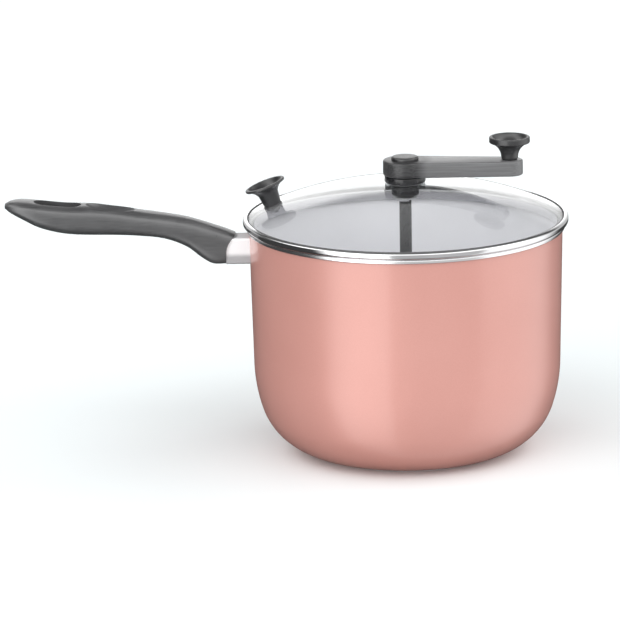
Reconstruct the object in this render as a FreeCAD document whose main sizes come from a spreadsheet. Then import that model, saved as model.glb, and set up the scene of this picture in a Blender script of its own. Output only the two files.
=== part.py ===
"""Stovetop popcorn maker: a painted pot with a side handle, a domed glass lid and a hand crank.

The pot stands on its base with the origin at the middle of that base and +Z up.  The handle
points along -X, and the crank arm lies along +X.  Every size is in millimetres or degrees and
lives in the spreadsheet "dims"; the sub-parts are bound to its cells by expressions.
"""

import FreeCAD, Part
import Sketcher
import math
import os

from FreeCAD import Placement, Rotation, Vector

# Driving dimensions: alias, value, what it measures.
DIMENSIONS = [
    # pot
    ("base_flat", 54.5, "radius of the flat part of the base"),
    ("corner_radius", 43.0, "radius of the lower bend of the wall"),
    ("corner_turn", 72.0, "angle through which the lower bend turns"),
    ("wall_bend", 102.0, "radius of the gentler bend above it"),
    ("draft", 1.2, "angle of the straight wall to the vertical"),
    ("wall", 2.4, "thickness of the pressed pot"),
    ("lip_base", 147.6, "height where the bare lip starts"),
    ("lip_top", 151.2, "height of the pot's mouth"),
    ("lip_reach", 1.5, "how far the lip stands proud of the wall"),
    ("lip_rise", 0.9, "height of the slope under the lip"),
    ("lip_round", 0.9, "radius of the lip's edges"),
    ("groove_first", 22.0, "radius of the first turned groove of the base"),
    ("groove_pitch", 9.0, "step from groove to groove"),
    ("groove_width", 1.6, "width of a groove"),
    ("groove_depth", 0.5, "depth of a groove"),
    # handle and its fixing
    ("fixing_height", 135.5, "height of the handle bolt"),
    ("guard_width", 17.0, "flame guard across"),
    ("guard_height", 17.6, "flame guard from top to bottom"),
    ("guard_round", 1.7, "corner radius of the flame guard"),
    ("guard_sheet", 0.8, "sheet thickness of the flame guard"),
    ("guard_end", 117.2, "distance of the guard's outer end from the pot's axis"),
    ("socket_play", 0.15, "gap between the guard and the grip's hood"),
    ("tenon_length", 3.0, "length of the grip's tenon inside the guard"),
    ("tenon_play", 0.2, "gap around that tenon"),
    ("stud_radius", 6.0, "radius of the welded stud"),
    ("stud_foot", 7.2, "radius of the stud's weld foot"),
    ("stud_end", 113.8, "distance of the stud's end from the pot's axis"),
    ("stud_shank", 9.0, "length of the stud's parallel part"),
    ("stud_taper", 1.0, "length of the taper from that part to the foot"),
    ("bolt_radius", 2.5, "radius of the handle bolt"),
    ("bolt_tip", 105.5, "distance of the bolt's tip from the pot's axis"),
    ("bolt_point", 0.7, "chamfer at the bolt's tip"),
    ("bolt_seat", 127.5, "distance of the bolt head's seat from the pot's axis"),
    ("bolt_head", 4.4, "radius of the bolt's head"),
    ("bolt_head_height", 3.6, "height of the bolt's head"),
    ("bolt_crown", 1.0, "radius on the edge of the bolt's head"),
    ("driver_slot", 1.2, "width of the slot in the bolt's head"),
    ("bolt_play", 0.2, "gap around the bolt in the grip"),
    ("washer_sheet", 0.8, "thickness of the small steel washers"),
    ("washer_margin", 0.4, "how far the bolt's washer reaches past its head"),
    ("well_radius", 5.4, "radius of the bolt's well in the grip"),
    ("well_length", 30.0, "length of that well, out through the grip's underside"),
    ("grip_round", 4.6, "corner radius of the grip's section"),
    ("thin_round", 0.42, "largest corner radius as a share of the section's height"),
    ("narrow_round", 0.6, "largest corner radius as a share of its half width"),
    ("end_top", 110.3, "end of the hood over the flame guard, from the pot's axis"),
    ("end_bottom", 117.3, "end of the grip's sides, from the pot's axis"),
    ("hood_top", 146.4, "height where the hood's curve ends"),
    ("hood_base", 133.4, "height where the hood's curve starts"),
    ("hood_sweep", 15.6, "radius of that curve"),
    ("hang_middle", 226.5, "middle of the hanging slot, from the pot's axis"),
    ("hang_length", 31.0, "length of the hanging slot"),
    ("hang_width", 12.6, "width of the hanging slot"),
    ("thumb_middle", 188.5, "middle of the thumb rest, from the pot's axis"),
    ("thumb_length", 21.5, "half length of the thumb rest's hollow"),
    ("thumb_width", 10.5, "half width of the thumb rest's hollow"),
    ("thumb_depth", 10.0, "height of the ellipsoid that hollows the thumb rest"),
    ("thumb_height", 170.0, "height of that ellipsoid's middle"),
    # lid
    ("seat_gap", 0.15, "gap between the lid's band and the pot's lip"),
    ("dome_radius", 245.0, "radius of the glass dome's outer face"),
    ("dome_apex", 178.2, "height of the dome's outer face on the axis"),
    ("glass", 2.8, "thickness of the glass"),
    ("glass_edge", 104.0, "radius of the glass disc"),
    ("glass_hole", 6.4, "radius of the glass's middle hole"),
    ("band_outer", 106.0, "radius of the steel band"),
    ("band_sheet", 0.5, "sheet thickness of the band"),
    ("band_height", 4.5, "height of the band's outer wall"),
    ("band_round", 1.3, "radius of the band's outer corners"),
    ("band_mouth", 103.2, "radius of the band's upper edge"),
    ("band_slope", 0.3, "rise of the band's top from its outer corner to its edge"),
    ("skirt_radius", 98.6, "outer radius of the skirt inside the pot's mouth"),
    ("skirt_depth", 6.4, "depth of the skirt below the band"),
    ("seal_lip", 0.6, "how far the seal shows inside the band"),
    ("seal_edge", 0.35, "thickness of the seal's visible edge"),
    # crank bearing in the glass
    ("flange_radius", 13.4, "radius of the bush's flange"),
    ("flange_base", 178.5, "height of the flange's underside"),
    ("flange_top", 182.7, "height of the flange's top"),
    ("tube_radius", 6.0, "radius of the bush's threaded tube"),
    ("tube_end", 167.6, "height of the tube's lower end"),
    ("nut_radius", 8.9, "radius of the bush nut"),
    ("nut_top", 174.4, "height of the nut's top"),
    ("nut_base", 168.6, "height of the nut's underside"),
    ("edge_break", 0.7, "radius on the edges of moulded rings"),
    ("pad_inset", 1.2, "how far a pad's edge lies inside the flange or nut on it"),
    # crank
    ("shaft_radius", 4.0, "radius of the crank shaft"),
    ("running_gap", 0.05, "radial play of a turning fit"),
    ("shaft_shoulder", 11.5, "height of the shaft's lower shoulder"),
    ("shaft_tip", 5.8, "height of the shaft's lower end"),
    ("shaft_point", 0.5, "chamfer at that end"),
    ("spigot_radius", 3.0, "radius of the shaft below the shoulder"),
    ("drive_square", 5.6, "side of the square on top of the shaft"),
    ("drive_top", 189.7, "height of the top of that square"),
    ("drive_play", 0.1, "gap over that square in the arm"),
    ("tapping_radius", 2.0, "radius of the tapped hole in the shaft"),
    ("tapping_depth", 15.0, "depth of that hole"),
    ("tapping_spare", 1.0, "depth of that hole below the arm screw"),
    ("screw_play", 0.15, "gap around the arm screw in the arm"),
    ("clip_top", 166.3, "height of the spring clip's upper face"),
    ("clip_sheet", 0.9, "thickness of the spring clip"),
    ("clip_root", 3.2, "radius of the clip's groove in the shaft"),
    ("clip_radius", 6.6, "outer radius of the clip"),
    ("clip_sweep", 290.0, "angle that the open clip covers"),
    ("thrust_radius", 7.6, "radius of the thrust washer"),
    ("thrust_top", 167.4, "height of the thrust washer's upper face"),
    ("arm_base", 183.0, "height of the arm's underside"),
    ("arm_top", 193.0, "height of the arm's top"),
    ("arm_hub", 14.3, "radius of the arm's hub end"),
    ("arm_end", 8.6, "radius of the arm's knob end"),
    ("arm_root", 12.4, "half width of the arm where it leaves the hub"),
    ("arm_blend", 7.0, "radius of the corner between hub and arm"),
    ("arm_reach", 68.0, "distance of the knob's axis from the crank's axis"),
    ("crank_azimuth", -3.5, "direction of the arm at rest, from +X"),
    ("arm_round", 1.1, "radius on the arm's edges"),
    ("relief_start", 17.0, "start of the hollow under the arm"),
    ("relief_stop", 57.0, "end of that hollow"),
    ("relief_wide", 9.0, "half width of the hollow at the hub end"),
    ("relief_narrow", 6.8, "half width of the hollow at the knob end"),
    ("relief_depth", 5.2, "depth of the hollow"),
    ("rib_half", 1.0, "half thickness of the rib along the hollow"),
    ("cap_radius", 8.9, "radius of the hub's cap"),
    ("cap_top", 195.3, "height of the cap's top"),
    ("cap_wall", 1.6, "wall of the cap"),
    ("cap_roof", 0.75, "thickness of the cap's top"),
    ("cap_round", 1.3, "radius of the cap's upper edge"),
    ("head_radius", 3.8, "radius of the arm screw's head"),
    ("head_height", 1.0, "height of the arm screw's head"),
    ("head_crown", 0.6, "radius on the edge of that head"),
    ("arm_washer_radius", 5.0, "radius of the arm screw's washer"),
    ("arm_washer_sheet", 0.5, "thickness of that washer"),
    # turning knob on the arm
    ("pin_radius", 2.5, "radius of the knob's pin"),
    ("pin_head", 4.2, "radius of the pin's head"),
    ("pin_head_height", 1.5, "height of the pin's head"),
    ("pin_crown", 0.7, "radius on the edge of the pin's head"),
    ("pin_play", 0.2, "gap under the pin's head"),
    ("foot_depth", 1.4, "depth of the pin's riveted foot in the arm"),
    ("knob_washer_inset", 0.3, "how far the knob's washer lies inside its foot"),
    ("knob_washer_play", 0.1, "gap between that washer and the knob"),
    ("knob_lift", 0.5, "height of the knob's foot above the arm"),
    ("knob_foot", 5.3, "radius of the knob's foot"),
    ("knob_stem", 5.5, "radius of the knob's stem"),
    ("knob_flare", 1.4, "height where the stem starts to flare"),
    ("knob_rim", 13.2, "radius of the knob's rim"),
    ("knob_rim_base", 10.6, "height where the rim starts"),
    ("knob_chamfer", 0.5, "chamfer under the rim"),
    ("knob_hollow", 9.0, "radius of the dish's curve"),
    ("knob_height", 14.6, "height of the knob"),
    ("knob_edge", 1.1, "radius of the rim's upper edge"),
    ("knob_lip", 2.2, "width of the rim's top"),
    ("knob_floor", 7.4, "height of the floor that holds the pin's head"),
    ("knob_well", 5.0, "radius of the well for the pin's head"),
    ("knob_sweep", 10.0, "radius of the flare under the rim"),
    # lifting knob on the glass
    ("lift_reach", 86.2, "distance of the lifting knob's foot from the axis"),
    ("lift_azimuth", 176.8, "direction of the lifting knob, from +X"),
    ("lift_pad", 0.9, "thickness of the pad under the lifting knob"),
    ("lift_foot", 5.6, "radius of the lifting knob's foot"),
    ("lift_waist", 6.7, "radius at the top of the stem"),
    ("lift_waist_height", 8.0, "height of the top of the stem"),
    ("lift_rim", 13.4, "radius of the lifting knob's rim"),
    ("lift_rim_base", 13.4, "height of the underside of its rim"),
    ("lift_height", 14.8, "height of the lifting knob"),
    ("lift_lip", 2.0, "width of the rim's top"),
    ("lift_edge", 0.6, "radius of the rim's edge"),
    ("lift_sweep", 9.5, "radius of the flare under the rim"),
    ("lift_dish", 5.2, "depth of the dish in its top"),
    ("lift_hollow", 11.0, "radius of the dish's curve"),
    ("lift_pad_margin", 0.5, "how far the pad reaches past the lifting knob's foot"),
    ("lift_screw", 2.0, "radius of the screw in the lifting knob"),
    ("lift_bite", 7.5, "how far that screw reaches into the knob"),
    ("lift_head", 4.0, "radius of that screw's head"),
    ("lift_head_height", 2.4, "height of that head"),
    ("lift_crown", 1.6, "radius on the edge of that head"),
    ("lift_hole", 2.6, "radius of its hole in the glass"),
    # stirrer
    ("hub_disc", 11.0, "radius of the stirrer's hub"),
    ("blade_sheet", 1.5, "sheet thickness of the stirrer"),
    ("blade_root", 8.0, "where a blade starts, from the axis"),
    ("blade_tip", 57.0, "where a blade ends, from the axis"),
    ("blade_half", 8.0, "half width of a blade"),
    ("blade_round", 5.0, "corner radius of a blade's tip"),
    ("blade_pitch", 34.0, "angle of a blade to the floor"),
    ("blade_azimuth", 38.0, "direction of the first blade, from +X"),
    ("stir_nut", 5.5, "radius of the stirrer nut's corners"),
    ("stir_nut_height", 3.6, "height of that nut"),
]

# Stations of the grip, from the pot outwards: distance from the pot's axis, top, underside
# and half width.  They follow the handle's side view.
STATION_SIZES = ("reach", "top", "under", "half")
GRIP_STATIONS = [
    (108.0, 144.6, 127.2, 10.0),
    (117.0, 148.5, 127.2, 10.2),
    (126.0, 151.8, 127.5, 10.2),
    (133.5, 154.2, 131.9, 10.3),
    (143.0, 156.7, 139.3, 10.5),
    (157.0, 159.0, 144.9, 10.9),
    (174.0, 161.4, 147.2, 11.5),
    (190.0, 164.4, 148.1, 12.3),
    (206.0, 165.7, 148.4, 13.0),
    (222.0, 166.2, 149.5, 13.4),
    (238.0, 168.0, 153.3, 13.2),
    (250.0, 169.5, 158.7, 11.6),
    (257.0, 169.1, 162.5, 8.2),
    (260.6, 167.8, 165.1, 4.0),
]
GROOVES = 3
NUT_SIDES = 6
FULL_TURN = 360
SAME = 1e-4

# Names for the points of a sketched edge, and for the sketch's own origin.
START, END, CENTRE = 1, 2, 3
ORIGIN = (-1, START)

doc = FreeCAD.newDocument("popcorn_maker")
sheet = doc.addObject("Spreadsheet::Sheet", "dims")
pieces = {}


def fill_sheet():
    """Writes each driving dimension to a row of the sheet: its note, its value and its alias."""
    rows = list(DIMENSIONS)
    for index, station in enumerate(GRIP_STATIONS):
        rows += [(f"grip{index}_{name}", size, f"grip station {index}, {name}")
                 for name, size in zip(STATION_SIZES, station)]
    for row, (alias, size, note) in enumerate(rows, start=1):
        sheet.set(f"A{row}", note)
        sheet.set(f"B{row}", str(size))
        sheet.setAlias(f"B{row}", alias)
    doc.recompute()


def number(expression):
    """The value of an expression on the sheet."""
    return float(sheet.evalExpression(expression))


def plane_of(body, role):
    """One of a body's own origin planes."""
    return next(plane for plane in body.Origin.OriginFeatures if plane.Role == role)


def new_sketch(body, name, role, height=None):
    """An empty sketch on one of the body's origin planes, lifted along its normal."""
    sketch = body.newObject("Sketcher::SketchObject", name)
    sketch.AttachmentSupport = (plane_of(body, role), [""])
    sketch.MapMode = "FlatFace"
    if height:
        sketch.AttachmentOffset = Placement(Vector(0, 0, number(height)), Rotation())
        sketch.setExpression("AttachmentOffset.Base.z", height)
    return sketch


def arc_between(start, end, radius):
    """The shorter arc from start to end.  It turns left for a positive radius, else right."""
    chord = end - start
    away = math.sqrt(max(radius ** 2 - (chord.Length / 2) ** 2, 0.0))
    left = Vector(-chord.y, chord.x, 0).normalize()
    centre = (start + end) / 2 + left * math.copysign(away, radius)
    first, last = (start, end) if radius > 0 else (end, start)
    angles = [math.atan2(p.y - centre.y, p.x - centre.x) for p in (first, last)]
    if angles[1] < angles[0]:
        angles[1] += 2 * math.pi
    return Part.ArcOfCircle(Part.Circle(centre, Vector(0, 0, 1), abs(radius)), *angles)


def bind(sketch, constraint, expression):
    """Adds a constraint and ties its value to an expression."""
    index = sketch.addConstraint(constraint)
    sketch.renameConstraint(index, f"size{index}")
    sketch.setExpression(f"Constraints.size{index}", expression)


def place(sketch, edge, end, point, expressions):
    """Ties one point of an edge to its distances across and up from the sketch's origin."""
    bind(sketch, Sketcher.Constraint("DistanceX", *ORIGIN, edge, end, point.x), expressions[0])
    bind(sketch, Sketcher.Constraint("DistanceY", *ORIGIN, edge, end, point.y), expressions[1])


def draw_loop(sketch, corners):
    """Draws a closed outline.  A corner is (across, up), or (across, up, radius) where the edge
    that leaves it is an arc; a radius that starts with a minus sign turns the arc to the right."""
    points = [Vector(number(c[0]), number(c[1]), 0) for c in corners]
    ends = []
    for index, corner in enumerate(corners):
        start, end = points[index], points[(index + 1) % len(points)]
        if len(corner) == 2:
            ends.append((sketch.addGeometry(Part.LineSegment(start, end), False), START, END))
            continue
        radius = number(corner[2])
        edge = sketch.addGeometry(arc_between(start, end, radius), False)
        ends.append((edge, START, END) if radius > 0 else (edge, END, START))
    for index, (edge, _first, last) in enumerate(ends):
        following, its_first, _last = ends[(index + 1) % len(ends)]
        sketch.addConstraint(Sketcher.Constraint("Coincident", edge, last, following, its_first))
    for (edge, first, _last), corner, point in zip(ends, corners, points):
        place(sketch, edge, first, point, corner)
        if len(corner) == 3:
            radius = Sketcher.Constraint("Radius", edge, abs(number(corner[2])))
            bind(sketch, radius, corner[2].lstrip("-"))


def draw_circle(sketch, radius, across="0", up="0"):
    """Draws a circle at a place in the sketch."""
    centre = Vector(number(across), number(up), 0)
    edge = sketch.addGeometry(Part.Circle(centre, Vector(0, 0, 1), number(radius)), False)
    place(sketch, edge, CENTRE, centre, (across, up))
    bind(sketch, Sketcher.Constraint("Radius", edge, number(radius)), radius)


def draw_square(sketch, half):
    """Draws a square about the sketch's origin."""
    draw_loop(sketch, [(f"-{half}", f"-{half}"), (half, f"-{half}"), (half, half), (f"-{half}", half)])


def rounded_box(half_across, low, high, low_round, high_round):
    """Corners of an upright rounded rectangle that is centred across."""
    return [
        (f"-({half_across}) + {low_round}", low),
        (f"{half_across} - {low_round}", low, low_round),
        (half_across, f"{low} + {low_round}"),
        (half_across, f"{high} - {high_round}", high_round),
        (f"{half_across} - {high_round}", high),
        (f"-({half_across}) + {high_round}", high, high_round),
        (f"-({half_across})", f"{high} - {high_round}"),
        (f"-({half_across})", f"{low} + {low_round}", low_round),
    ]


def new_body(label):
    """An empty body with its node's name."""
    return doc.addObject("PartDesign::Body", label)


def turned(label, corners, sweep=None):
    """A body turned about its own Z axis from corners given as (radius, height)."""
    body = new_body(label)
    sketch = new_sketch(body, f"{label}_profile", "XZ_Plane")
    draw_loop(sketch, corners)
    turn = body.newObject("PartDesign::Revolution", f"{label}_turn")
    turn.Profile = sketch
    turn.ReferenceAxis = (sketch, ["V_Axis"])
    turn.Angle = FULL_TURN
    if sweep:
        turn.setExpression("Angle", sweep)
    doc.recompute()
    return body


def pad(body, sketch, length, both_ways=False, backwards=False):
    """Adds an extrusion of a sketch to a body."""
    feature = body.newObject("PartDesign::Pad", f"{sketch.Name}_pad")
    feature.Profile = sketch
    feature.setExpression("Length", length)
    feature.Midplane = both_ways
    feature.Reversed = backwards
    doc.recompute()
    return feature


def recompute_cut(body, feature):
    """Recomputes a body after a cut, and makes sure that the cut removed something."""
    before = feature.BaseFeature.Shape.Volume
    doc.recompute()
    if not body.Shape.Volume < before:
        raise ValueError(f"{feature.Name} cut nothing out of {body.Label}")


def pocket(body, sketch, depth, both_ways=False, backwards=False):
    """Cuts an extrusion of a sketch out of a body."""
    feature = body.newObject("PartDesign::Pocket", f"{sketch.Name}_pocket")
    feature.Profile = sketch
    feature.setExpression("Length", depth)
    feature.Midplane = both_ways
    feature.Reversed = backwards
    recompute_cut(body, feature)
    return feature


def rounded(body, radius, picks):
    """Fillets the edges of a body's last feature for which picks is true."""
    base = body.Tip
    names = [f"Edge{index}" for index, edge in enumerate(base.Shape.Edges, start=1) if picks(edge)]
    fillet = body.newObject("PartDesign::Fillet", f"{body.Name}_round")
    fillet.Base = (base, names)
    fillet.setExpression("Radius", radius)
    doc.recompute()
    return fillet


def lies_at(edge, height):
    """True if a whole edge lies at one height."""
    box = edge.BoundBox
    return abs(box.ZMin - height) < SAME and abs(box.ZMax - height) < SAME


def stands_at(edge, across):
    """True if a whole edge stands upright at one distance across."""
    box = edge.BoundBox
    return abs(box.XMin - across) < SAME and abs(box.XMax - across) < SAME


def cut(label, base, tool):
    """One shape less another, as a node of its own."""
    result = doc.addObject("Part::Cut", label)
    result.Base = base
    result.Tool = tool
    doc.recompute()
    return result


def on_crank(body, reach="0", height="0"):
    """Turns a body to the crank's direction at rest and moves it that way, and up."""
    body.Placement = Placement(Vector(0, 0, 0), Rotation(Vector(0, 0, 1), number("dims.crank_azimuth")))
    body.setExpression("Placement.Base.x", f"{reach} * cos(dims.crank_azimuth)")
    body.setExpression("Placement.Base.y", f"{reach} * sin(dims.crank_azimuth)")
    body.setExpression("Placement.Base.z", height)
    doc.recompute()
    return body


def aim_outwards(body):
    """Lays a turned body along the handle bolt, with its own +Z pointing away from the pot."""
    body.Placement = Placement(Vector(0, 0, 0), Rotation(Vector(0, 1, 0), -FULL_TURN / 4))
    body.setExpression("Placement.Base.z", "dims.fixing_height")
    doc.recompute()
    return body


def on_dome(thing):
    """Tilts a piece, whose own Z is measured from the dome's centre, out to the lifting knob."""
    azimuth = math.radians(number("dims.lift_azimuth"))
    axis = Vector(-math.sin(azimuth), math.cos(azimuth), 0)
    tilt = math.degrees(math.asin(number("dims.lift_reach / dims.dome_radius")))
    thing.Placement = Placement(Vector(0, 0, 0), Rotation(axis, tilt))
    thing.setExpression("Placement.Base.z", "dims.dome_apex - dims.dome_radius")
    doc.recompute()
    return thing


def dome_height(radius, thickness="0"):
    """Height of the dome's outer face, or of a face that far under it, at a radius."""
    face = f"(dims.dome_radius - {thickness})"
    return f"(dims.dome_apex - dims.dome_radius + sqrt({face} ^ 2 - ({radius}) ^ 2))"


# Pot

CORNER_END = ("(dims.base_flat + dims.corner_radius * sin(dims.corner_turn))",
              "(dims.corner_radius * (1 - cos(dims.corner_turn)))")
BEND_END = (f"({CORNER_END[0]} + dims.wall_bend * (cos(dims.draft) - sin(dims.corner_turn)))",
            f"({CORNER_END[1]} + dims.wall_bend * (cos(dims.corner_turn) - sin(dims.draft)))")


def wall_radius(height):
    """Radius of the straight wall's outer face at a height."""
    return f"({BEND_END[0]} + ({height} - {BEND_END[1]}) * tan(dims.draft))"


def make_pot_body():
    lip = f"({wall_radius('dims.lip_base')} + dims.lip_reach)"
    mouth = f"({wall_radius('dims.lip_top')} - dims.wall / cos(dims.draft))"
    corners = [("0", "0")]
    for groove in range(GROOVES):
        middle = f"dims.groove_first + {groove} * dims.groove_pitch"
        corners += [
            (f"{middle} - dims.groove_width / 2", "0"),
            (f"{middle} - dims.groove_width / 2", "dims.groove_depth"),
            (f"{middle} + dims.groove_width / 2", "dims.groove_depth"),
            (f"{middle} + dims.groove_width / 2", "0"),
        ]
    corners += [
        ("dims.base_flat", "0", "dims.corner_radius"),
        (*CORNER_END, "dims.wall_bend"),
        BEND_END,
        (wall_radius("dims.lip_base"), "dims.lip_base"),
        (lip, "dims.lip_base + dims.lip_rise"),
        (lip, "dims.lip_top - dims.lip_round", "dims.lip_round"),
        (f"{lip} - dims.lip_round", "dims.lip_top"),
        (f"{mouth} + dims.lip_round", "dims.lip_top", "dims.lip_round"),
        (mouth, "dims.lip_top - dims.lip_round"),
        (f"{BEND_END[0]} - dims.wall * cos(dims.draft)",
         f"{BEND_END[1]} + dims.wall * sin(dims.draft)", "-(dims.wall_bend - dims.wall)"),
        (f"{CORNER_END[0]} - dims.wall * sin(dims.corner_turn)",
         f"{CORNER_END[1]} + dims.wall * cos(dims.corner_turn)", "-(dims.corner_radius - dims.wall)"),
        ("dims.base_flat", "dims.wall"),
        ("0", "dims.wall"),
    ]
    pieces["pot_body"] = turned("pot_body", corners)


# Handle and its fixing

def pot_plug(label):
    """The solid cone inside the pot's straight wall, which shapes what is set against the wall."""
    low, high = "dims.fixing_height - dims.guard_height", "dims.fixing_height + dims.guard_height"
    plug = doc.addObject("Part::Cone", label)
    plug.setExpression("Radius1", wall_radius(f"({low})"))
    plug.setExpression("Radius2", wall_radius(f"({high})"))
    plug.setExpression("Height", "2 * dims.guard_height")
    plug.setExpression("Placement.Base.z", low)
    doc.recompute()
    return plug


def guard_outline(inset):
    """The flame guard's outline, drawn in from its outer face by an inset."""
    reach = f"(dims.guard_height / 2 - {inset})"
    bend = f"(dims.guard_round - max(0; {inset}))"
    return rounded_box(f"(dims.guard_width / 2 - {inset})", f"dims.fixing_height - {reach}",
                       f"dims.fixing_height + {reach}", bend, bend)


def make_flame_guard():
    blank = new_body("guard_blank")
    sketch = new_sketch(blank, "guard_section", "YZ_Plane", "-dims.guard_end")
    draw_loop(sketch, guard_outline("0"))
    draw_loop(sketch, guard_outline("dims.guard_sheet"))
    pad(blank, sketch, "dims.guard_end - dims.base_flat")
    pieces["flame_guard"] = cut("flame_guard", blank, pot_plug("guard_plug"))


def make_handle_stud():
    blank = turned("stud_blank", [
        ("dims.bolt_radius", "dims.base_flat"),
        ("dims.stud_foot", "dims.base_flat"),
        ("dims.stud_foot", "dims.stud_end - dims.stud_shank - dims.stud_taper"),
        ("dims.stud_radius", "dims.stud_end - dims.stud_shank"),
        ("dims.stud_radius", "dims.stud_end - dims.edge_break"),
        ("dims.stud_radius - dims.edge_break", "dims.stud_end"),
        ("dims.bolt_radius", "dims.stud_end"),
    ])
    pieces["handle_stud"] = cut("handle_stud", aim_outwards(blank), pot_plug("stud_plug"))


def make_handle_bolt():
    seat = "(dims.bolt_seat + dims.washer_sheet)"
    top = f"({seat} + dims.bolt_head_height)"
    bolt = turned("handle_bolt", [
        ("0", "dims.bolt_tip"),
        ("dims.bolt_radius - dims.bolt_point", "dims.bolt_tip"),
        ("dims.bolt_radius", "dims.bolt_tip + dims.bolt_point"),
        ("dims.bolt_radius", seat),
        ("dims.bolt_head", seat),
        ("dims.bolt_head", f"{top} - dims.bolt_crown", "dims.bolt_crown"),
        ("dims.bolt_head - dims.bolt_crown", top),
        ("0", top),
    ])
    slot = new_sketch(bolt, "bolt_slot", "XY_Plane", top)
    side = "dims.driver_slot / 2"
    draw_loop(slot, [("-dims.bolt_head", f"-{side}"), ("dims.bolt_head", f"-{side}"),
                     ("dims.bolt_head", side), ("-dims.bolt_head", side)])
    pocket(bolt, slot, "dims.bolt_head_height / 2")
    pieces["handle_bolt"] = aim_outwards(bolt)


def ring(label, inner, outer, low, high):
    """A flat washer."""
    return turned(label, [(inner, low), (outer, low), (outer, high), (inner, high)])


def make_bolt_washer():
    washer = ring("bolt_washer", "dims.bolt_radius", "dims.bolt_head + dims.washer_margin",
                  "dims.bolt_seat", "dims.bolt_seat + dims.washer_sheet")
    pieces["bolt_washer"] = aim_outwards(washer)


def grip_section(grip, station):
    """The grip's rounded section at one station, smaller in the corners where it is thin."""
    reach, top, under, half = (f"dims.grip{station}_{name}" for name in STATION_SIZES)
    sketch = new_sketch(grip, f"grip_section{station}", "YZ_Plane", f"-{reach}")
    bend = f"min(dims.grip_round; dims.thin_round * ({top} - {under}); dims.narrow_round * {half})"
    draw_loop(sketch, rounded_box(half, under, top, bend, bend))
    return sketch


def cut_grip_end(grip):
    """Shapes the end at the pot: a hood over the flame guard, and a tenon inside it for the bolt."""
    end = new_sketch(grip, "grip_end", "XZ_Plane")
    draw_loop(end, [
        ("-dims.end_bottom", "dims.lip_base / 2"),
        ("-dims.base_flat", "dims.lip_base / 2"),
        ("-dims.base_flat", "dims.lip_top"),
        ("-dims.end_top", "dims.lip_top"),
        ("-dims.end_top", "dims.hood_top", "dims.hood_sweep"),
        ("-dims.end_bottom", "dims.hood_base"),
    ])
    pocket(grip, end, "4 * dims.grip0_half", both_ways=True)

    socket = new_sketch(grip, "grip_socket", "YZ_Plane", "-dims.end_bottom")
    draw_loop(socket, guard_outline("(-dims.socket_play)"))
    pocket(grip, socket, "dims.end_bottom - dims.base_flat", backwards=True)

    tenon = new_sketch(grip, "grip_tenon", "YZ_Plane", "-dims.end_bottom")
    draw_loop(tenon, guard_outline("(dims.guard_sheet + dims.tenon_play)"))
    pad(grip, tenon, "dims.tenon_length")

    bore = new_sketch(grip, "grip_bore", "YZ_Plane", "-dims.bolt_seat")
    draw_circle(bore, "dims.bolt_radius + dims.bolt_play", "0", "dims.fixing_height")
    pocket(grip, bore, "dims.bolt_seat - dims.base_flat", backwards=True)

    well = new_sketch(grip, "grip_well", "YZ_Plane", "-dims.bolt_seat")
    draw_circle(well, "dims.well_radius", "0", "dims.fixing_height")
    pocket(grip, well, "dims.well_length")


def make_handle_grip():
    grip = new_body("handle_grip")
    sections = [grip_section(grip, station) for station in range(len(GRIP_STATIONS))]
    loft = grip.newObject("PartDesign::AdditiveLoft", "grip_loft")
    loft.Profile = sections[0]
    loft.Sections = sections[1:]
    doc.recompute()
    cut_grip_end(grip)

    slot = new_sketch(grip, "hang_slot", "XY_Plane", "dims.grip9_under / 2")
    half_length, half_width = "dims.hang_length / 2", "dims.hang_width / 2"
    near = f"-dims.hang_middle + {half_length} - {half_width}"
    far = f"-dims.hang_middle - {half_length} + {half_width}"
    draw_loop(slot, [
        (far, f"-{half_width}"),
        (near, f"-{half_width}", half_width),
        (f"{near} + {half_width}", "0", half_width),
        (near, half_width),
        (far, half_width, half_width),
        (f"{far} - {half_width}", "0", half_width),
    ])
    pocket(grip, slot, "dims.grip9_top", backwards=True)

    hollow = grip.newObject("PartDesign::SubtractiveEllipsoid", "thumb_rest")
    hollow.setExpression("Radius1", "dims.thumb_depth")
    hollow.setExpression("Radius2", "dims.thumb_length")
    hollow.setExpression("Radius3", "dims.thumb_width")
    hollow.setExpression("Placement.Base.x", "-dims.thumb_middle")
    hollow.setExpression("Placement.Base.z", "dims.thumb_height")
    recompute_cut(grip, hollow)
    pieces["handle_grip"] = grip


# Lid

BAND_BASE = "(dims.lip_top + dims.seat_gap)"
BAND_TOP = f"({BAND_BASE} + dims.band_height)"


def make_lid_glass():
    disc = turned("glass_disc", [
        ("dims.glass_hole", dome_height("dims.glass_hole", "dims.glass"), "-(dims.dome_radius - dims.glass)"),
        ("dims.glass_edge", dome_height("dims.glass_edge", "dims.glass")),
        ("dims.glass_edge", dome_height("dims.glass_edge"), "dims.dome_radius"),
        ("dims.glass_hole", dome_height("dims.glass_hole")),
    ])
    drill = doc.addObject("Part::Cylinder", "glass_drill")
    drill.setExpression("Radius", "dims.lift_hole")
    drill.setExpression("Height", "2 * dims.dome_radius")
    pieces["lid_glass"] = cut("lid_glass", disc, on_dome(drill))


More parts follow.
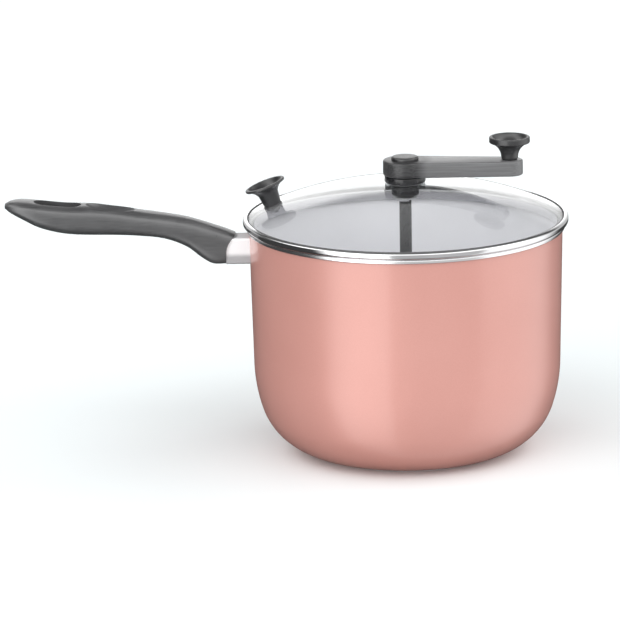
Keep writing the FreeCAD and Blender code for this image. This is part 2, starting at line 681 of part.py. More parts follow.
def make_lid_band():
    """A rolled channel that grips the glass, with a skirt that drops into the pot's mouth."""
    sheet_of, bend = "dims.band_sheet", "dims.band_round"
    inner_bend = "(dims.band_round - dims.band_sheet)"
    outer, wall = "dims.band_outer", "(dims.band_outer - dims.band_sheet)"
    edge_top = f"({BAND_TOP} + dims.band_slope)"
    skirt_end = f"({BAND_BASE} - dims.skirt_depth)"
    corners = [
        ("dims.skirt_radius - " + sheet_of, skirt_end),
        ("dims.skirt_radius", skirt_end),
        ("dims.skirt_radius", f"{BAND_BASE} - {bend}", "-" + bend),
        (f"dims.skirt_radius + {bend}", BAND_BASE),
        (f"{outer} - {bend}", BAND_BASE, bend),
        (outer, f"{BAND_BASE} + {bend}"),
        (outer, f"{BAND_TOP} - {bend}", bend),
        (f"{outer} - {bend}", BAND_TOP),
        ("dims.band_mouth", edge_top),
        ("dims.band_mouth", f"{edge_top} - {sheet_of}"),
        (f"{outer} - {bend}", f"{BAND_TOP} - {sheet_of}", "-" + inner_bend),
        (wall, f"{BAND_TOP} - {bend}"),
        (wall, f"{BAND_BASE} + {bend}", "-" + inner_bend),
        (f"{outer} - {bend}", f"{BAND_BASE} + {sheet_of}"),
        (f"dims.skirt_radius - {sheet_of} + {bend}", f"{BAND_BASE} + {sheet_of}", bend),
        ("dims.skirt_radius - " + sheet_of, f"{BAND_BASE} + {sheet_of} - {bend}"),
    ]
    pieces["lid_band"] = turned("lid_band", corners)


def make_lid_seal():
    """A soft ring between glass and band, whose lip shows as a dark line inside the band."""
    bend = "dims.band_round"
    wall = "(dims.band_outer - dims.band_sheet)"
    lip = "(dims.band_mouth - dims.seal_lip)"
    under = "dims.band_sheet"
    corners = [
        (lip, dome_height(lip), "-dims.dome_radius"),
        ("dims.glass_edge", dome_height("dims.glass_edge")),
        ("dims.glass_edge", f"{BAND_BASE} + {under}"),
        (f"dims.band_outer - {bend}", f"{BAND_BASE} + {under}", "(dims.band_round - dims.band_sheet)"),
        (wall, f"{BAND_BASE} + {bend}"),
        (wall, f"{BAND_TOP} - {bend}", "(dims.band_round - dims.band_sheet)"),
        (f"dims.band_outer - {bend}", f"{BAND_TOP} - {under}"),
        ("dims.band_mouth", f"{BAND_TOP} + dims.band_slope - {under}"),
        (lip, f"{dome_height(lip)} + dims.seal_edge"),
    ]
    pieces["lid_seal"] = turned("lid_seal", corners)


def make_lifting_knob():
    """The knob near the lid's edge, with its pad, and the washer and screw under the glass."""
    face = "dims.dome_radius"
    foot = f"({face} + dims.lift_pad)"
    top = f"({foot} + dims.lift_height)"
    knob = turned("lifting_knob", [
        ("dims.lift_screw", foot),
        ("dims.lift_foot", foot),
        ("dims.lift_waist", f"{foot} + dims.lift_waist_height", "-dims.lift_sweep"),
        ("dims.lift_rim", f"{foot} + dims.lift_rim_base"),
        ("dims.lift_rim", f"{top} - dims.lift_edge", "dims.lift_edge"),
        ("dims.lift_rim - dims.lift_edge", top),
        ("dims.lift_rim - dims.lift_lip", top, "-dims.lift_hollow"),
        ("0", f"{top} - dims.lift_dish"),
        ("0", f"{foot} + dims.lift_bite"),
        ("dims.lift_screw", f"{foot} + dims.lift_bite"),
    ])
    pieces["lifting_knob"] = on_dome(knob)

    pad_radius = "(dims.lift_foot + dims.lift_pad_margin)"
    soft_pad = turned("lifting_knob_pad", [
        ("dims.lift_hole", f"sqrt({face} ^ 2 - dims.lift_hole ^ 2)", "-dims.dome_radius"),
        (pad_radius, f"sqrt({face} ^ 2 - {pad_radius} ^ 2)"),
        (pad_radius, foot),
        ("dims.lift_hole", foot),
    ])
    pieces["lifting_knob_pad"] = on_dome(soft_pad)

    inner = "(dims.dome_radius - dims.glass)"
    seat = f"({inner} - dims.washer_sheet)"
    washer = ring("lifting_knob_washer", "dims.lift_hole", "dims.lift_foot", seat,
                  f"sqrt({inner} ^ 2 - dims.lift_foot ^ 2)")
    pieces["lifting_knob_washer"] = on_dome(washer)

    end = f"({seat} - dims.lift_head_height)"
    screw = turned("lifting_knob_screw", [
        ("0", end),
        ("dims.lift_head - dims.lift_crown", end, "dims.lift_crown"),
        ("dims.lift_head", f"{end} + dims.lift_crown"),
        ("dims.lift_head", seat),
        ("dims.lift_screw", seat),
        ("dims.lift_screw", f"{foot} + dims.lift_bite"),
        ("0", f"{foot} + dims.lift_bite"),
    ])
    pieces["lifting_knob_screw"] = on_dome(screw)


def make_crank_bearing():
    """The flanged bush through the glass, the nut that holds it and the pads beside the glass."""
    bore = "(dims.shaft_radius + dims.running_gap)"
    edge = "dims.edge_break"
    pieces["crank_bush"] = turned("crank_bush", [
        (bore, "dims.tube_end"),
        ("dims.tube_radius", "dims.tube_end"),
        ("dims.tube_radius", "dims.flange_base"),
        (f"dims.flange_radius - {edge}", "dims.flange_base", edge),
        ("dims.flange_radius", f"dims.flange_base + {edge}"),
        ("dims.flange_radius", f"dims.flange_top - {edge}", edge),
        (f"dims.flange_radius - {edge}", "dims.flange_top"),
        (bore, "dims.flange_top"),
    ])
    pieces["bush_nut"] = turned("bush_nut", [
        ("dims.tube_radius", "dims.nut_base"),
        (f"dims.nut_radius - {edge}", "dims.nut_base", edge),
        ("dims.nut_radius", f"dims.nut_base + {edge}"),
        ("dims.nut_radius", "dims.nut_top"),
        ("dims.tube_radius", "dims.nut_top"),
    ])
    pad_edge = "(dims.flange_radius - dims.pad_inset)"
    pieces["upper_pad"] = turned("upper_pad", [
        ("dims.glass_hole", dome_height("dims.glass_hole"), "-dims.dome_radius"),
        (pad_edge, dome_height(pad_edge)),
        (pad_edge, "dims.flange_base"),
        ("dims.glass_hole", "dims.flange_base"),
    ])
    nut_edge = "(dims.nut_radius - dims.pad_inset)"
    pieces["lower_pad"] = turned("lower_pad", [
        ("dims.glass_hole", "dims.nut_top"),
        (nut_edge, "dims.nut_top"),
        (nut_edge, dome_height(nut_edge, "dims.glass"), "(dims.dome_radius - dims.glass)"),
        ("dims.glass_hole", dome_height("dims.glass_hole", "dims.glass")),
    ])


# Crank

def make_crank_shaft():
    """The round shaft, with a clip groove, a threaded spigot below and a square drive on top."""
    groove_low = "(dims.clip_top - dims.clip_sheet)"
    shaft = turned("crank_shaft", [
        ("0", "dims.shaft_tip"),
        ("dims.spigot_radius - dims.shaft_point", "dims.shaft_tip"),
        ("dims.spigot_radius", "dims.shaft_tip + dims.shaft_point"),
        ("dims.spigot_radius", "dims.shaft_shoulder"),
        ("dims.shaft_radius", "dims.shaft_shoulder"),
        ("dims.shaft_radius", groove_low),
        ("dims.clip_root", groove_low),
        ("dims.clip_root", "dims.clip_top"),
        ("dims.shaft_radius", "dims.clip_top"),
        ("dims.shaft_radius", "dims.flange_top"),
        ("0", "dims.flange_top"),
    ])
    square = new_sketch(shaft, "drive_square", "XY_Plane", "dims.flange_top")
    draw_square(square, "dims.drive_square / 2")
    pad(shaft, square, "dims.drive_top - dims.flange_top")
    tapping = new_sketch(shaft, "drive_tapping", "XY_Plane", "dims.drive_top")
    draw_circle(tapping, "dims.tapping_radius")
    pocket(shaft, tapping, "dims.tapping_depth")
    pieces["crank_shaft"] = on_crank(shaft)


def make_shaft_retainers():
    """The thrust washer under the bush and the spring clip that keeps the shaft from lifting."""
    pieces["thrust_washer"] = ring("thrust_washer", "dims.shaft_radius", "dims.thrust_radius",
                                   "dims.clip_top", "dims.thrust_top")
    low = "dims.clip_top - dims.clip_sheet"
    pieces["spring_clip"] = turned("spring_clip", [
        ("dims.clip_root", low),
        ("dims.clip_radius", low),
        ("dims.clip_radius", "dims.clip_top"),
        ("dims.clip_root", "dims.clip_top"),
    ], "dims.clip_sweep")


def make_crank_arm():
    arm = new_body("crank_arm")
    plan = new_sketch(arm, "arm_plan", "XY_Plane", "dims.arm_base")
    hub_x = "sqrt(dims.arm_hub ^ 2 - dims.arm_root ^ 2)"
    draw_loop(plan, [
        (hub_x, "-dims.arm_root"),
        ("dims.arm_reach", "-dims.arm_end", "dims.arm_end"),
        ("dims.arm_reach + dims.arm_end", "0", "dims.arm_end"),
        ("dims.arm_reach", "dims.arm_end"),
        (hub_x, "dims.arm_root", "dims.arm_hub"),
        ("-dims.arm_hub", "0", "dims.arm_hub"),
    ])
    pad(arm, plan, "dims.arm_top - dims.arm_base")
    corner = number(hub_x)
    rounded(arm, "dims.arm_blend", lambda edge: stands_at(edge, corner))
    levels = [number("dims.arm_base"), number("dims.arm_top")]
    rounded(arm, "dims.arm_round", lambda edge: any(lies_at(edge, level) for level in levels))

    relief = new_sketch(arm, "arm_relief", "XY_Plane", "dims.arm_base")
    for side in ("", "-"):
        inner, start = f"{side}dims.rib_half", "dims.relief_start"
        draw_loop(relief, [(start, inner), ("dims.relief_stop", inner),
                           ("dims.relief_stop", f"{side}dims.relief_narrow"),
                           (start, f"{side}dims.relief_wide")])
    pocket(arm, relief, "dims.relief_depth", backwards=True)

    socket = new_sketch(arm, "arm_socket", "XY_Plane", "dims.arm_base")
    draw_square(socket, "(dims.drive_square / 2 + dims.running_gap)")
    pocket(arm, socket, "dims.drive_top - dims.arm_base + dims.drive_play", backwards=True)

    holes = new_sketch(arm, "arm_holes", "XY_Plane", "dims.arm_base")
    draw_circle(holes, "dims.tapping_radius + dims.screw_play")
    draw_circle(holes, "dims.pin_radius", "dims.arm_reach")
    pocket(arm, holes, "dims.arm_top - dims.arm_base", backwards=True)

    foot = new_sketch(arm, "pin_foot", "XY_Plane", "dims.arm_base")
    draw_circle(foot, "dims.pin_head", "dims.arm_reach")
    pocket(arm, foot, "dims.foot_depth", backwards=True)
    pieces["crank_arm"] = on_crank(arm)


def make_arm_fixing():
    """The screw and washer that hold the arm down on the shaft, under a moulded cap."""
    seat = "(dims.arm_top + dims.arm_washer_sheet)"
    top = f"({seat} + dims.head_height)"
    tip = "dims.drive_top - dims.tapping_depth + dims.tapping_spare"
    pieces["arm_washer"] = ring("arm_washer", "dims.tapping_radius", "dims.arm_washer_radius",
                                "dims.arm_top", seat)
    pieces["arm_screw"] = turned("arm_screw", [
        ("0", tip),
        ("dims.tapping_radius", tip),
        ("dims.tapping_radius", seat),
        ("dims.head_radius", seat),
        ("dims.head_radius", f"{top} - dims.head_crown", "dims.head_crown"),
        ("dims.head_radius - dims.head_crown", top),
        ("0", top),
    ])
    room = "(dims.cap_radius - dims.cap_wall)"
    ceiling = "(dims.cap_top - dims.cap_roof)"
    pieces["arm_cap"] = turned("arm_cap", [
        (room, "dims.arm_top"),
        ("dims.cap_radius", "dims.arm_top"),
        ("dims.cap_radius", "dims.cap_top - dims.cap_round", "dims.cap_round"),
        ("dims.cap_radius - dims.cap_round", "dims.cap_top"),
        ("0", "dims.cap_top"),
        ("0", ceiling),
        (room, ceiling),
    ])


def make_turning_knob():
    """The knob on the arm, the headed pin that it turns on, and the washer under it."""
    bore = "(dims.pin_radius + dims.running_gap)"
    rim, height = "dims.knob_rim", "dims.knob_height"
    knob = turned("turning_knob", [
        (bore, "0"),
        ("dims.knob_foot", "0"),
        ("dims.knob_stem", "dims.knob_flare", "-dims.knob_sweep"),
        (f"{rim} - dims.knob_chamfer", "dims.knob_rim_base"),
        (rim, "dims.knob_rim_base + dims.knob_chamfer"),
        (rim, f"{height} - dims.knob_edge", "dims.knob_edge"),
        (f"{rim} - dims.knob_edge", height),
        (f"{rim} - dims.knob_lip", height, "-dims.knob_hollow"),
        ("dims.knob_well", "dims.knob_floor + dims.pin_head_height"),
        ("dims.knob_well", "dims.knob_floor"),
        (bore, "dims.knob_floor"),
    ])
    foot = "(dims.arm_top + dims.knob_lift)"
    pieces["turning_knob"] = on_crank(knob, "dims.arm_reach", foot)

    head = f"({foot} + dims.knob_floor + dims.pin_play)"
    top = f"({head} + dims.pin_head_height)"
    under = "dims.arm_base"
    pin = turned("knob_pin", [
        ("0", under),
        ("dims.pin_head", under),
        ("dims.pin_head", f"{under} + dims.foot_depth"),
        ("dims.pin_radius", f"{under} + dims.foot_depth"),
        ("dims.pin_radius", head),
        ("dims.pin_head", head),
        ("dims.pin_head", f"{top} - dims.pin_crown", "dims.pin_crown"),
        ("dims.pin_head - dims.pin_crown", top),
        ("0", top),
    ])
    pieces["knob_pin"] = on_crank(pin, "dims.arm_reach")
    washer = ring("knob_washer", "dims.pin_radius", "dims.knob_foot - dims.knob_washer_inset",
                  "dims.arm_top", f"{foot} - dims.knob_washer_play")
    pieces["knob_washer"] = on_crank(washer, "dims.arm_reach")


# Stirrer

def make_blade(label, half_turn):
    """One pitched blade of the stirrer; the second stands half a turn from the first."""
    blade = new_body(label)
    plan = new_sketch(blade, f"{label}_plan", "XY_Plane")
    half, bend, tip = "dims.blade_half", "dims.blade_round", "dims.blade_tip"
    draw_loop(plan, [
        ("dims.blade_root", f"-{half}"),
        (f"{tip} - {bend}", f"-{half}", bend),
        (tip, f"-{half} + {bend}"),
        (tip, f"{half} - {bend}", bend),
        (f"{tip} - {bend}", half),
        ("dims.blade_root", half),
    ])
    pad(blade, plan, "dims.blade_sheet", both_ways=True)
    azimuth = number("dims.blade_azimuth") + (FULL_TURN / 2 if half_turn else 0)
    around = Rotation(Vector(0, 0, 1), azimuth)
    pitched = Rotation(Vector(1, 0, 0), number("dims.blade_pitch"))
    blade.Placement = Placement(Vector(0, 0, 0), around.multiply(pitched))
    blade.setExpression("Placement.Base.z", "dims.shaft_shoulder - dims.blade_sheet / 2")
    doc.recompute()
    return blade


def make_stirrer():
    hub = ring("stirrer_hub", "dims.spigot_radius", "dims.hub_disc",
               "dims.shaft_shoulder - dims.blade_sheet", "dims.shaft_shoulder")
    fuse = doc.addObject("Part::MultiFuse", "stirrer_blade")
    fuse.Shapes = [hub, make_blade("first_blade", False), make_blade("second_blade", True)]
    doc.recompute()
    pieces["stirrer_blade"] = fuse

    nut = new_body("stirrer_nut")
    sides = new_sketch(nut, "nut_sides", "XY_Plane", "dims.shaft_shoulder - dims.blade_sheet")
    angles = [FULL_TURN * side / NUT_SIDES for side in range(NUT_SIDES)]
    draw_loop(sides, [(f"dims.stir_nut * cos({angle})", f"dims.stir_nut * sin({angle})")
                      for angle in angles])
    draw_circle(sides, "dims.spigot_radius")
    pad(nut, sides, "dims.stir_nut_height", backwards=True)
    pieces["stirrer_nut"] = nut


def check_document():
    """Stops the build if any object failed to recompute or a sub-part's shape isn't a sound solid."""
    for thing in doc.Objects:
        if {"Invalid", "Error"} & set(thing.State):
            raise ValueError(f"{thing.Label} failed: {thing.State}")
    for label, piece in pieces.items():
        shape = piece.Shape
        if shape.isNull() or not shape.isValid() or not shape.Solids:
            raise ValueError(f"{label} has no sound solid")


def main():
    fill_sheet()
    make_pot_body()
    make_flame_guard()
    make_handle_stud()
    make_handle_bolt()
    make_bolt_washer()
    make_handle_grip()
    make_lid_glass()
    make_lid_band()
    make_lid_seal()
    make_lifting_knob()
    make_crank_bearing()
    make_crank_shaft()
    make_shaft_retainers()
    make_crank_arm()
    make_arm_fixing()
    make_turning_knob()
    make_stirrer()
    doc.recompute()
    check_document()
    os.makedirs("parts", exist_ok=True)
    for label, piece in pieces.items():
        piece.Shape.exportStep(f"parts/{label}.step")
        print(f"{label}: {piece.Shape.Volume / 1000:.2f} cm3, {len(piece.Shape.Solids)} solid")


main()
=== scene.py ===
# %% [markdown]
# A stovetop popcorn pot: a rose-painted pot with a side handle, a domed glass lid in a steel
# band, and a crank that turns a stirrer through the lid.  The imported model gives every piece
# its size and place.  This lesson dresses it: it models the pieces that show, gives each
# surface its finish, and lights and frames the whole.

# %% The frame
import math

import bmesh
import bpy
from mathutils import Matrix, Vector


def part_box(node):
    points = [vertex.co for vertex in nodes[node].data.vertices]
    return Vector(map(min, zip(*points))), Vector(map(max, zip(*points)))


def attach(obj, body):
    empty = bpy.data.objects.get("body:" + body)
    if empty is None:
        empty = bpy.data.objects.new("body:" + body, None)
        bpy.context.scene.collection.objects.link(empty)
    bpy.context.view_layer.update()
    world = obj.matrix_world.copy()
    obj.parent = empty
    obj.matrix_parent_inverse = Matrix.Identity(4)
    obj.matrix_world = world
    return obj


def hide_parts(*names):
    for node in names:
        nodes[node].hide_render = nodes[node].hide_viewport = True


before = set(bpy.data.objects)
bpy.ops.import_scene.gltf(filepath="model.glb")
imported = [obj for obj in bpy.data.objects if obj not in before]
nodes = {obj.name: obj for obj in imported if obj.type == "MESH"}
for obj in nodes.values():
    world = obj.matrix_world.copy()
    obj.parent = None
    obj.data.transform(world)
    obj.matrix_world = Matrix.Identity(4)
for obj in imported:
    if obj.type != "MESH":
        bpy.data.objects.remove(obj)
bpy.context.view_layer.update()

MM = 0.001

# %% [markdown]
# The camera comes first, because every later choice is judged through it.  A long lens far
# away keeps the ellipses of lid and base nearly parallel, as in a product picture.  It looks
# down by some fourteen degrees and leans a little, so the crank arm runs uphill.

# %% Camera
LOOK_DOWN = math.radians(14.331)
LEAN = math.radians(-0.963)
LOOK_AT = Vector((-63.25, 0, 93.157)) * MM
CAMERA_DISTANCE = 3319.66 * MM
FOCAL_PIXELS = 5072.5
IMAGE_PIXELS = 620


def add_camera():
    """Adds the camera, leaning about its line of sight, and makes it the scene's own."""
    data = bpy.data.cameras.new("camera")
    data.lens = FOCAL_PIXELS * data.sensor_width / IMAGE_PIXELS
    camera = bpy.data.objects.new("camera", data)
    bpy.context.scene.collection.objects.link(camera)
    sight = Vector((0, math.cos(LOOK_DOWN), -math.sin(LOOK_DOWN)))
    level = Vector((1, 0, 0))
    upright = level.cross(sight)
    right = level * math.cos(LEAN) + upright * math.sin(LEAN)
    axes = Matrix((right, right.cross(sight), -sight)).transposed()
    camera.matrix_world = Matrix.Translation(LOOK_AT - sight * CAMERA_DISTANCE) @ axes.to_4x4()
    bpy.context.scene.camera = camera
    return camera


camera = add_camera()
print("lens", round(camera.data.lens), "mm")

# %% [markdown]
# Finishes are node trees, and their sums read best as sums.  A small class wraps a socket, so
# that `1 - mask` or `grain * 0.2` adds the Math nodes.  Every other node comes from one method
# that takes its type, its settings and what its sockets get.

# %% Wires and finishes
class Wire:
    """A socket of a node tree.  Arithmetic on wires adds Math nodes to that tree."""

    def __init__(self, finish, socket):
        self.finish = finish
        self.socket = socket

    def maths(self, operation, *values):
        return self.finish.node("ShaderNodeMath", {"operation": operation}, dict(enumerate(values)))

    def __add__(self, other):
        return self.maths("ADD", self, other)

    def __sub__(self, other):
        return self.maths("SUBTRACT", self, other)

    def __rsub__(self, other):
        return self.maths("SUBTRACT", other, self)

    def __mul__(self, other):
        return self.maths("MULTIPLY", self, other)

    def __pow__(self, other):
        return self.maths("POWER", self, other)

    __radd__ = __add__
    __rmul__ = __mul__


class Finish:
    """A node tree in the making, for a material or for the world."""

    def __init__(self, owner):
        owner.use_nodes = True
        self.owner = owner
        self.tree = owner.node_tree

    def node(self, kind, settings=None, sockets=None, output=0):
        """Adds a node: first its settings, then the values or wires of its sockets."""
        made = self.tree.nodes.new(kind)
        for name, value in (settings or {}).items():
            setattr(made, name, value)
        for key, value in (sockets or {}).items():
            if isinstance(value, Wire):
                self.tree.links.new(value.socket, made.inputs[key])
            else:
                made.inputs[key].default_value = value
        return Wire(self, made.outputs[output]) if made.outputs else None

    def steps(self, value, low, high):
        """A wire that climbs smoothly from 0 to 1 as a value goes from low to high."""
        return self.node("ShaderNodeMapRange", {"interpolation_type": "SMOOTHSTEP"},
                         {"Value": value, "From Min": low, "From Max": high})

    def place(self):
        """The point on the piece, in metres."""
        return self.node("ShaderNodeTexCoord", output="Object")

    def parts(self, vector):
        """The three numbers of a vector."""
        split = self.node("ShaderNodeSeparateXYZ", sockets={0: vector})
        return [Wire(self, socket) for socket in split.socket.node.outputs]

    def stretched(self, vector, factors):
        """A place with its three numbers scaled apart."""
        return self.node("ShaderNodeVectorMath", {"operation": "MULTIPLY"}, {0: vector, 1: factors})

    def noise(self, vector, size, detail=2.0):
        """Cloudy noise from 0 to 1, whose clouds are about as large as the given size."""
        return self.node("ShaderNodeTexNoise",
                         sockets={"Vector": vector, "Scale": 1 / size, "Detail": detail})

    def blend(self, factor, first, second):
        """A colour between two."""
        return self.node("ShaderNodeMix", {"data_type": "RGBA"},
                         {"Factor": factor, 6: (*first, 1), 7: (*second, 1)}, output=2)

    def bump(self, height, depth):
        """A surface normal tilted by a height of 0 to 1 that stands for the given depth."""
        return self.node("ShaderNodeBump",
                         sockets={"Strength": 1.0, "Distance": depth, "Height": height})

    def shade(self, sockets):
        """Sets sockets of the material's main shader."""
        shader = self.tree.nodes["Principled BSDF"]
        for key, value in sockets.items():
            if isinstance(value, Wire):
                self.tree.links.new(value.socket, shader.inputs[key])
            else:
                shader.inputs[key].default_value = value


# %% [markdown]
# Light first, finish later: a metal or a gloss shows what stands around it.  The studio is the
# world itself, a ring of bright and dark panels round the pot: a strong soft box left of the
# camera, a broad one to the right, dim light between them and darkness at the far left.  The sky
# above is bright, but dims behind the pot and at the zenith.  A narrow strip straight behind
# brightens whatever lies flat, and through the glass only a pale backdrop shows.  The panels reach
# far below the horizon and draw the upright bands of light on the wall, and the dim zenith draws
# the dark shoulders of the mouldings.  The floor is plain and pale, and is hidden from reflections.
#
# Each edge below is soft, and given as a pair: where it starts and where it ends.  An edge round
# the pot is in degrees away from the camera, and a height is the sine of the angle above the
# horizon.

# %% Studio
PANELS = [
    # the edge where a panel starts, the edge where it stops, and its light
    ((-70, -50), (-16, -11), 2.5),
    ((-16, -11), (11, 15), 0.55),
    ((11, 15), (52, 60), 0.6),
    ((52, 60), (108, 140), 1.4),
]
DARK_PANEL = 0.06
PANEL_FOOT = (-0.95, -0.55)
DIM_FOOT = 0.3
SKY = 2.5
SKY_FOOT = (0.42, 0.7)
SKY_EDGE = (120, 150)
DIM_SKY = 0.1
ZENITH = (0.8, 0.93)
DIM_ZENITH = 0.15
BACK_LIGHT = 0.6
BACK_EDGE = (118, 140)
STRIP_LIGHT = 1.3
STRIP_EDGE = (164, 174)
BACK_HEIGHT = ((-0.2, -0.05), (0.34, 0.46))
FRONT_LIGHT = 0.6
FRONT_EDGE = (45, 75)
FRONT_FOOT = (0.0, 0.2)
GLASS_LOSS = 0.14
WHITE = (1, 1, 1, 1)
FLOOR_SIZE = 8
FLOOR_DROP = 0.1 * MM
FLOOR_PALE = (0.85, 0.905, 0.915, 1)


def add_studio():
    """Lights the world by direction: panels round the horizon below a soft sky."""
    world = Finish(bpy.data.worlds.new("studio"))
    bpy.context.scene.world = world.owner
    world.tree.nodes.clear()
    across, depth, height = world.parts(world.node("ShaderNodeTexCoord", output="Generated"))
    turn = across.maths("ARCTAN2", across, depth * -1) * math.degrees(1)
    off_front = turn.maths("ABSOLUTE", turn)

    def between(value, rising, falling):
        return world.steps(value, *rising) * (1 - world.steps(value, *falling))

    strip = world.steps(off_front, *STRIP_EDGE) * STRIP_LIGHT
    behind = world.steps(off_front, *BACK_EDGE) * BACK_LIGHT + strip
    front = (1 - world.steps(off_front, *FRONT_EDGE)) * world.steps(height, *FRONT_FOOT)
    ring = behind * between(height, *BACK_HEIGHT) + front * FRONT_LIGHT + DARK_PANEL
    for rising, falling, light in PANELS:
        ring = ring + between(turn, rising, falling) * light
    sky = world.steps(height, *SKY_FOOT)
    spread = 1 - world.steps(off_front, *SKY_EDGE) * (1 - DIM_SKY)
    overhead = 1 - world.steps(height, *ZENITH) * (1 - DIM_ZENITH)
    lifted = world.steps(height, *PANEL_FOOT) * (1 - DIM_FOOT) + DIM_FOOT
    light = ring * lifted * (1 - sky) + sky * spread * overhead * SKY
    studio = world.node("ShaderNodeBackground", sockets={"Color": WHITE, "Strength": light})
    direct = world.node("ShaderNodeLightPath", output="Is Camera Ray")
    through = world.node("ShaderNodeLightPath", output="Is Transmission Ray")
    backdrop = world.node("ShaderNodeBackground",
                          sockets={"Color": WHITE, "Strength": 1 - through * GLASS_LOSS})
    mixed = world.node("ShaderNodeMixShader", sockets={0: direct + through, 1: studio, 2: backdrop})
    world.node("ShaderNodeOutputWorld", sockets={"Surface": mixed})


def add_floor():
    """Adds the pale floor, a hair below the pot's base."""
    bpy.ops.object.select_all(action="DESELECT")
    bpy.ops.mesh.primitive_plane_add(size=FLOOR_SIZE, location=(0, 0, -FLOOR_DROP))
    floor = bpy.context.object
    floor.name = "floor"
    floor.visible_glossy = False
    pale = Finish(bpy.data.materials.new("pale_floor"))
    pale.shade({"Base Color": FLOOR_PALE, "Roughness": 0.9})
    floor.data.materials.append(pale.owner)


add_studio()
add_floor()
bpy.context.scene.view_settings.view_transform = "Standard"
print("studio with", len(PANELS), "panels")

# %% [markdown]
# The pot is pressed aluminium.  Outside it is sprayed with a rose paint that holds fine
# metal flakes under a clear coat.  Flakes are cells a third of a millimetre wide that differ a
# little in tone, and the coat has the faint orange peel that sprayed paint dries with.

# %% Rose paint
ROSE_DEEP = (0.51, 0.225, 0.187)
ROSE_LIGHT = (0.63, 0.316, 0.274)
FLAKE = 0.35 * MM
CLOUD = 60 * MM
PEEL = 3 * MM
PEEL_DEPTH = 0.012 * MM


def rose_paint():
    paint = Finish(bpy.data.materials.new("rose_paint"))
    place = paint.place()
    flakes = paint.node("ShaderNodeTexVoronoi", sockets={"Vector": place, "Scale": 1 / FLAKE},
                        output="Color")
    clouds = paint.noise(place, CLOUD)
    tone = flakes * 0.35 + clouds * 0.45 + 0.1
    peel = paint.noise(place, PEEL)
    paint.shade({
        "Base Color": paint.blend(tone, ROSE_DEEP, ROSE_LIGHT),
        "Metallic": flakes * 0.25 + 0.05,
        "Roughness": flakes * 0.1 + 0.36,
        "Normal": paint.bump(peel, PEEL_DEPTH),
        "Coat Weight": 0.6,
        "Coat Roughness": 0.14,
    })
    return paint.owner


PAINT = rose_paint()
print("finish", PAINT.name)

# %% [markdown]
# Bare metal shows how it was worked.  The lip, the base and the lid's band were turned or
# polished on a spindle, so their fine lines run round the axis: noise that changes across and
# up, but not round.  The sleeve on the handle and the stirrer were brushed along instead.

# %% Bare metals
STEEL_DARK = (0.56, 0.56, 0.575)
STEEL_LIGHT = (0.76, 0.76, 0.77)
STEEL_BRIGHT = (0.84, 0.84, 0.85)
ALUMINIUM_DARK = (0.74, 0.74, 0.75)
ALUMINIUM_LIGHT = (0.90, 0.90, 0.91)
# The bright tone is a painted highlight on the sleeve's sides; the grey one is painted shade at their
# foot and also tints the top.
SLEEVE_PAINTED_HIGHLIGHT = (0.92, 0.92, 0.93)
SLEEVE_GREY = (0.28, 0.28, 0.29)
SLEEVE_SHADED_FOOT = (0.25, 0.48)
FACING_UP = (0.55, 0.95)
BRUSHED_LINE = 0.25 * MM
BRUSHED_DEPTH = 0.004 * MM
BRUSHED_SMEAR = 9 * MM
BRUSHED_ALONG_X = (0.04, 1, 1)
BRUSHED_ALONG_Y = (1, 0.05, 1)
MATT_SPECK = 0.5 * MM
TURNED_DEPTH = 0.002 * MM
TURNED_SMEAR = 25 * MM


def turned_lines(finish, width):
    """Noise whose streaks run round the pot's axis."""
    across, depth, height = finish.parts(finish.place())
    radius = (across * across + depth * depth) ** 0.5
    ring = finish.node("ShaderNodeCombineXYZ", sockets={0: radius, 1: height})
    return finish.noise(ring, width, 3)


def spun_metal(name, dark, light, polish, line):
    metal = Finish(bpy.data.materials.new(name))
    lines = turned_lines(metal, line)
    smears = metal.noise(metal.place(), TURNED_SMEAR)
    metal.shade({
        "Base Color": metal.blend(lines * 0.5 + smears * 0.5, dark, light),
        "Metallic": 1.0,
        "Roughness": lines * 0.08 + smears * 0.06 + polish,
        "Normal": metal.bump(lines, TURNED_DEPTH),
    })
    return metal.owner


def brushed_metal(name, dark, light, polish, stretch):
    metal = Finish(bpy.data.materials.new(name))
    place = metal.place()
    lines = metal.noise(metal.stretched(place, stretch), BRUSHED_LINE, 3)
    smears = metal.noise(place, BRUSHED_SMEAR)
    metal.shade({
        "Base Color": metal.blend(lines * 0.5 + smears * 0.5, dark, light),
        "Metallic": 1.0,
        "Roughness": lines * 0.1 + smears * 0.08 + polish,
        "Normal": metal.bump(lines, BRUSHED_DEPTH),
    })
    return metal.owner


def sleeve_steel():
    """Brushed sides painted bright as a painted highlight, greying towards their foot as painted shade,
    and a top left matt and greyer where it faces up.
    """
    metal = Finish(bpy.data.materials.new("brushed_sleeve_steel"))
    place = metal.place()
    height = metal.parts(place)[2]
    low, high = (corner.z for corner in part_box("flame_guard"))
    facing_up = metal.parts(metal.node("ShaderNodeNewGeometry", output="Normal"))[2]
    matt = metal.steps(facing_up, *FACING_UP)
    # The sides grey towards their foot: a painted shade.
    shaded_foot = 1 - metal.steps(height, *(low + (high - low) * share for share in SLEEVE_SHADED_FOOT))
    lines = metal.noise(metal.stretched(place, BRUSHED_ALONG_X), BRUSHED_LINE, 3)
    specks = metal.noise(place, MATT_SPECK)
    tone = matt * (specks * 0.3 + 0.38) + shaded_foot * (lines * 0.3 + 0.65) * (1 - matt)
    metal.shade({
        "Base Color": metal.blend(tone, SLEEVE_PAINTED_HIGHLIGHT, SLEEVE_GREY),
        "Metallic": (1 - matt) * 0.3,
        "Roughness": matt * 0.35 + lines * 0.1 + 0.28,
        "Normal": metal.bump(lines, BRUSHED_DEPTH),
    })
    return metal.owner


